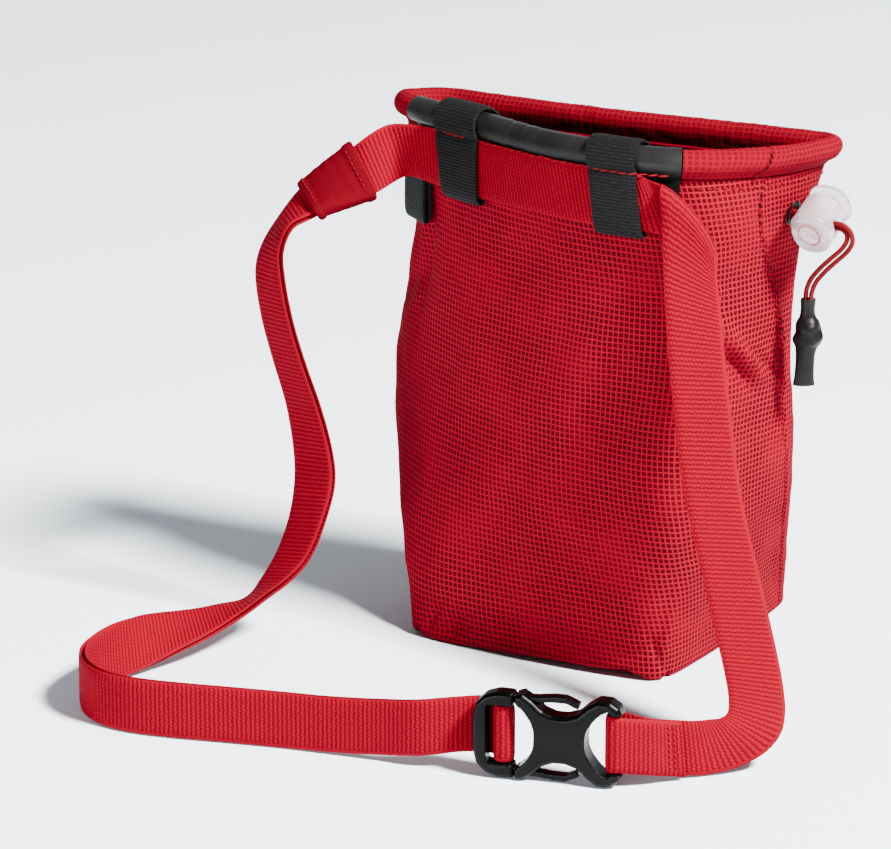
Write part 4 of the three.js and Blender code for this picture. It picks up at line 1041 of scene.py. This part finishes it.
def roll_piece(name, start, stop, steps, grow, mat, node, rough):
    outline = ROLL.copy()
    for q in outline:
        if q[0] > 3:
            q[1] += math.copysign(grow, q[1]) if q[1] else 0
        if q[0] <= GAP or q[0] >= ROLL_TALL:
            q[0] += math.copysign(grow, q[0] - GAP) if q[0] != GAP else 0
    profile = spline(outline, np.linspace(0, 1, 36, endpoint=False), closed=True)
    centre = profile.mean(0)
    rings = []
    for i in range(steps + 1):
        place = start + (stop - start) * i / steps
        base = float(wall_top(place))
        seam = abs((place % 12) - RIM_SEAM)
        pinch = 1 - 0.07 * math.exp(-(seam / 0.018) ** 2) if not rough else 1.0
        at = np.full(len(profile), place)
        q = centre + (profile - centre) * pinch
        p3 = plan_point(place, base)
        puff = []
        for k in range(len(profile)):
            a = 2 * math.pi * k / len(profile)
            s = (p3[0] * 0.9 + p3[1] * 0.5)
            if rough:
                w = 0.06 * fbm((s, k * 0.5, 3), 0.09)
                for spot, amp in ((2.55, 0.16), (2.68, 0.13), (2.8, 0.12), (1.5, 0.08), (3.8, 0.1)):
                    w -= amp * math.exp(-((place - spot) / 0.018) ** 2)
            else:
                w = 0.16 * fbm((s, 7 * math.cos(a), 7 * math.sin(a)), 0.16)
                gathers = 0.12 * math.sin(place * 90 + 2 * a) * (0.5 + 0.5 * math.sin(place * 7))
                w += gathers * max(0.0, math.sin(a * 0.5))
            puff.append(w)
        d = q - centre
        q = q + unit(d) * np.array(puff)[:, None]
        low = 0.05 if q[:, 0].min() < 0.12 else 0
        rings.append(wall(at, base + np.maximum(q[:, 0], 0.1 + low), q[:, 1]))
    first, last = (ring.mean(0) + (ring - ring.mean(0)) * 0.93 for ring in (rings[0], rings[-1]))
    make(name, [first, *rings, last], mat, replaces=[node])


roll_piece("rim_roll", GRIP_TO + END_GAP, GRIP_FROM + 12 - END_GAP, 420, 0, "rim",
           "rim_binding", False)
roll_piece("grip_roll", GRIP_FROM, GRIP_TO, 260, 0.5, "grip", "rim_grip", True)


def flap_piece():
    rings = []
    for place in np.linspace(GRIP_FROM, GRIP_TO, 150):
        base = float(wall_top(place))
        ring = []
        for up, out in ((1.0, 1.25), (0.2, 1.3), (-5, 1.3), (-FLAP_DROP + 0.4, 1.3), (-FLAP_DROP, 0.9),
                        (-FLAP_DROP + 0.4, GAP + 0.1), (-5, GAP + 0.1), (0.2, GAP + 0.1)):
            z = base + up
            fold = float(fold_out(place, z)) if up < 0 else 0
            ring.append(wall(place, z, out + fold))
        rings.append(ring)
    make("grip_flap", rings, "flap")


flap_piece()


at = np.linspace(1.3, GRIP_TO - 0.03, 260)
near_loop = np.zeros(260)
for middle, reach in ((1.93, 0.20), (3.53, 0.20)):
    near_loop = np.maximum(near_loop, 1 / (1 + np.exp((np.abs(at - middle) - reach) * 60)))
ragged = np.array([fbm((a * 30, 1, 5), 0.5) for a in at])
z = wall_top(at) + 2.35 + 0.45 * ragged
out = 4.75 + 1.05 * near_loop
stitches("grip_stitches", wall(at, z, out), normal_at(at, z), "thread_red", 3.4, 0.6, 0.15,
         slant=0.13)
at = np.linspace(4.15, 12.8, 200)
z = wall_top(at) - 2.6
stitches("rim_stitches", wall(at, z, 0.25), normal_at(at, z), "thread_red", 2.0, 0.5, 1.0)
high = np.linspace(-0.2, 9.4, 30)
base = float(wall_top(RIM_SEAM))
bulge = np.interp(high, [-0.2, 1.5, 3.4, 5.9, 8.6, 9.4], [1.2, 1.6, 3.8, 4.5, 3.4, 2.4])
seam = wall(np.full(30, RIM_SEAM), base + high, bulge)
stitches("rim_seam", seam, normal_at(np.full(30, RIM_SEAM), base + high), "thread_dark",
         1.7, 0.75, 0.3, slant=0.7)
zs = np.linspace(112, 170, 90)
line = wall(seam_place(zs), zs, 0.15 + 0.1 * np.sin(zs * 0.9))
stitches("side_seam", line, normal_at(seam_place(zs), zs), "thread_dark", 2.3, 0.6, 1.0,
         slant=0.15)


# Belt, loops, keeper, tab
belt_smooth = smoothed(smoothed(belt_run, 2), 2)

# The strap bows out where it folds over at the right, and its outer corner is rounded.
fold_high, fold_low = main_run[int((len(RIGHT_RUN) + 5.4) * PER)]
crease = unit(fold_high - fold_low)
bow_way = np.array([0.75, 0.2, 0.62])
bow_way = unit(bow_way - crease * (bow_way @ crease))
from_corner = np.linalg.norm(belt_smooth[:, 1] - fold_low, axis=1)
belt_smooth[:, 1] += crease * (2.2 * np.exp(-(from_corner / 9) ** 2))[:, None]
from_crease = np.linalg.norm(belt_smooth.mean(1) - (fold_high + fold_low) / 2, axis=1)
belt_bow = bow_way * (2.8 * np.exp(-(from_crease / 10) ** 2))[:, None]
belt_normals = unit(smoothed(face_normals(belt_smooth), 3))
belt_rings = strap_rings(belt_smooth, WEB_THICK, belt_normals, belt_bow)

# The weave is measured along the belt's middle and across one plain section of it.
level = belt_rings[len(belt_rings) * 3 // 4]
across = lengths(np.concatenate([level, level[:1]]))
belt_uv = np.stack(np.broadcast_arrays(lengths(belt_smooth.mean(1))[:, None], across[None, :]), -1)
make("belt_webbing", belt_rings, "web", replaces=["waist_belt"], uv=belt_uv)

for k, row in enumerate((5, 8)):
    pts = belt_smooth[row]
    n = belt_normals[row]
    shares = np.linspace(0.06, 0.94, 24)
    line = np.array([pts[0] + (pts[1] - pts[0]) * t + n * (WEB_THICK / 2 + 0.1) for t in shares])
    stitches("belt_end_stitch_" + str(k + 1), line, np.repeat(n[None], 24, 0), "thread_red",
             1.5, 0.55, 0.45, slant=0.35)


def band_rings(fine, thick, count, thin_edge, spot):
    """Rings of a flat strap along a path of (out, up). spot gives a point's place on the part."""
    t = unit(np.gradient(fine, axis=0))
    shares = np.linspace(-1, 1, count)
    rings = []
    for i, (out, up) in enumerate(fine):
        ring = []
        for sign, order in ((1, shares), (-1, shares[::-1])):
            for s in order:
                lift = sign * thick / 2 * (thin_edge if abs(s) > 0.97 else 1.0)
                ring.append(spot(i, s, out - t[i, 1] * lift, up + t[i, 0] * lift))
        rings.append(ring)
    return rings


def loop_piece(middle, wide, name, node):
    fine = even(np.array(LOOP_PATH), 120)
    fine[:, 0] -= np.where(fine[:, 0] > 3, 0.85 * np.exp(-((fine[:, 1] - 2.4) / 1.5) ** 2), 0)
    halves = []
    for out, up in fine:
        high = min(float(wall_top(middle)) + up, HOOP_HEIGHT * 0.97)
        ends = [wall(middle + k, high, out) for k in (0.05, -0.05)]
        halves.append(wide / 2 / (np.linalg.norm(ends[0] - ends[1]) / 0.1))

    def spot(i, s, out, up):
        place = middle + halves[i] * s
        return wall(place, float(wall_top(place)) + up, out)

    make(name, band_rings(fine, LOOP_THICK, 15, 0.62, spot), "black_web", replaces=[node])


loop_piece(1.93, 18.0, "loop_left_webbing", "belt_loop_left")
loop_piece(3.50, 18.0, "loop_right_webbing", "belt_loop_right")


def keeper_piece():
    a, b = (KEEPER_ROW - 2) * PER, int((KEEPER_ROW + 0.5) * PER) + 1
    run, normals = main_run[a:b], main_normals[a:b]
    across = unit(run[:, 1] - run[:, 0])
    c = run.mean(1) + normals * LAYER_STEP / 2
    count = len(run)
    around = np.linspace(0, 2 * math.pi, 44, endpoint=False)
    ca, sa = np.cos(around), np.sin(around)
    wide_share = np.sign(ca) * np.abs(ca) ** 0.3
    thick_share = np.sign(sa) * np.abs(sa) ** 0.75

    def ring(i, room, wave):
        w = WEB_WIDE / 2 + room
        h = WEB_THICK / 2 + LAYER_STEP / 2 + room
        h = h + wave * np.array([fbm((i * 0.9, 6 * x, 3 * y), 0.5) for x, y in zip(wide_share, sa)])
        return c[i] + across[i] * (w * wide_share)[:, None] + normals[i] * (h * thick_share)[:, None]

    rings = []
    for i in range(count):
        share = i / (count - 1)
        edge = min(share, 1 - share)
        hem = 0.5 * (1 - np.clip((edge - 0.15) / 0.05, 0, 1))
        groove = 0.22 * math.exp(-((edge - 0.17) / 0.018) ** 2)
        lip = 0.5 * math.exp(-(edge / 0.02) ** 2)
        rings.append(ring(i, 1.55 + hem - groove - lip, 0.35 * min(1, edge * 8)))
    for i in range(count - 1, -1, -1):
        rings.append(ring(i, 0.62, 0))
    make("keeper_sleeve", rings, "keeper", replaces=["belt_keeper"], closed=True)
    for k, share in enumerate((0.13, 0.87)):
        i = int(round(share * (count - 1)))
        for sign in (1, -1):
            reach = WEB_THICK / 2 + LAYER_STEP / 2 + 2.02
            t = np.linspace(-0.9, 0.9, 24)
            line = c[i] + across[i] * (WEB_WIDE / 2 * t)[:, None] + normals[i] * sign * reach
            stitches("keeper_stitch_%d_%s" % (k + 1, "front" if sign > 0 else "back"), line,
                     np.repeat(normals[i][None] * sign, 24, 0), "thread_red", 1.6, 0.45, 0.7)


keeper_piece()


def tab_piece():
    place, wide, thick = 0.86, 16, 1.2
    high = float(wall_top(place)) - FLAP_DROP - 2 * GAP
    foot = high - 18
    path = [[1.3, high], [1.3, foot + 3], [1.7, foot + 1], [2.4, foot + 0.6], [3.1, foot + 1], [3.5, foot + 3],
            [3.5, high]]
    fine = even(np.array(path), 90)
    base = wall(place, high - 6, 0)
    n = normal_at(place, high)
    side = np.array([-n[1], n[0], 0])

    def spot(i, s, out, up):
        near = np.clip((fine[i, 1] - foot - 0.2) / 3.0, 0, 1)
        half = wide / 2 * (0.84 + 0.16 * math.sqrt(1 - (1 - near) ** 2))
        return [*(base + side * half * s + n * out)[:2], up]

    make("side_tab_webbing", band_rings(fine, thick, 13, 0.6, spot), "black_web",
         replaces=["side_tab"])


tab_piece()
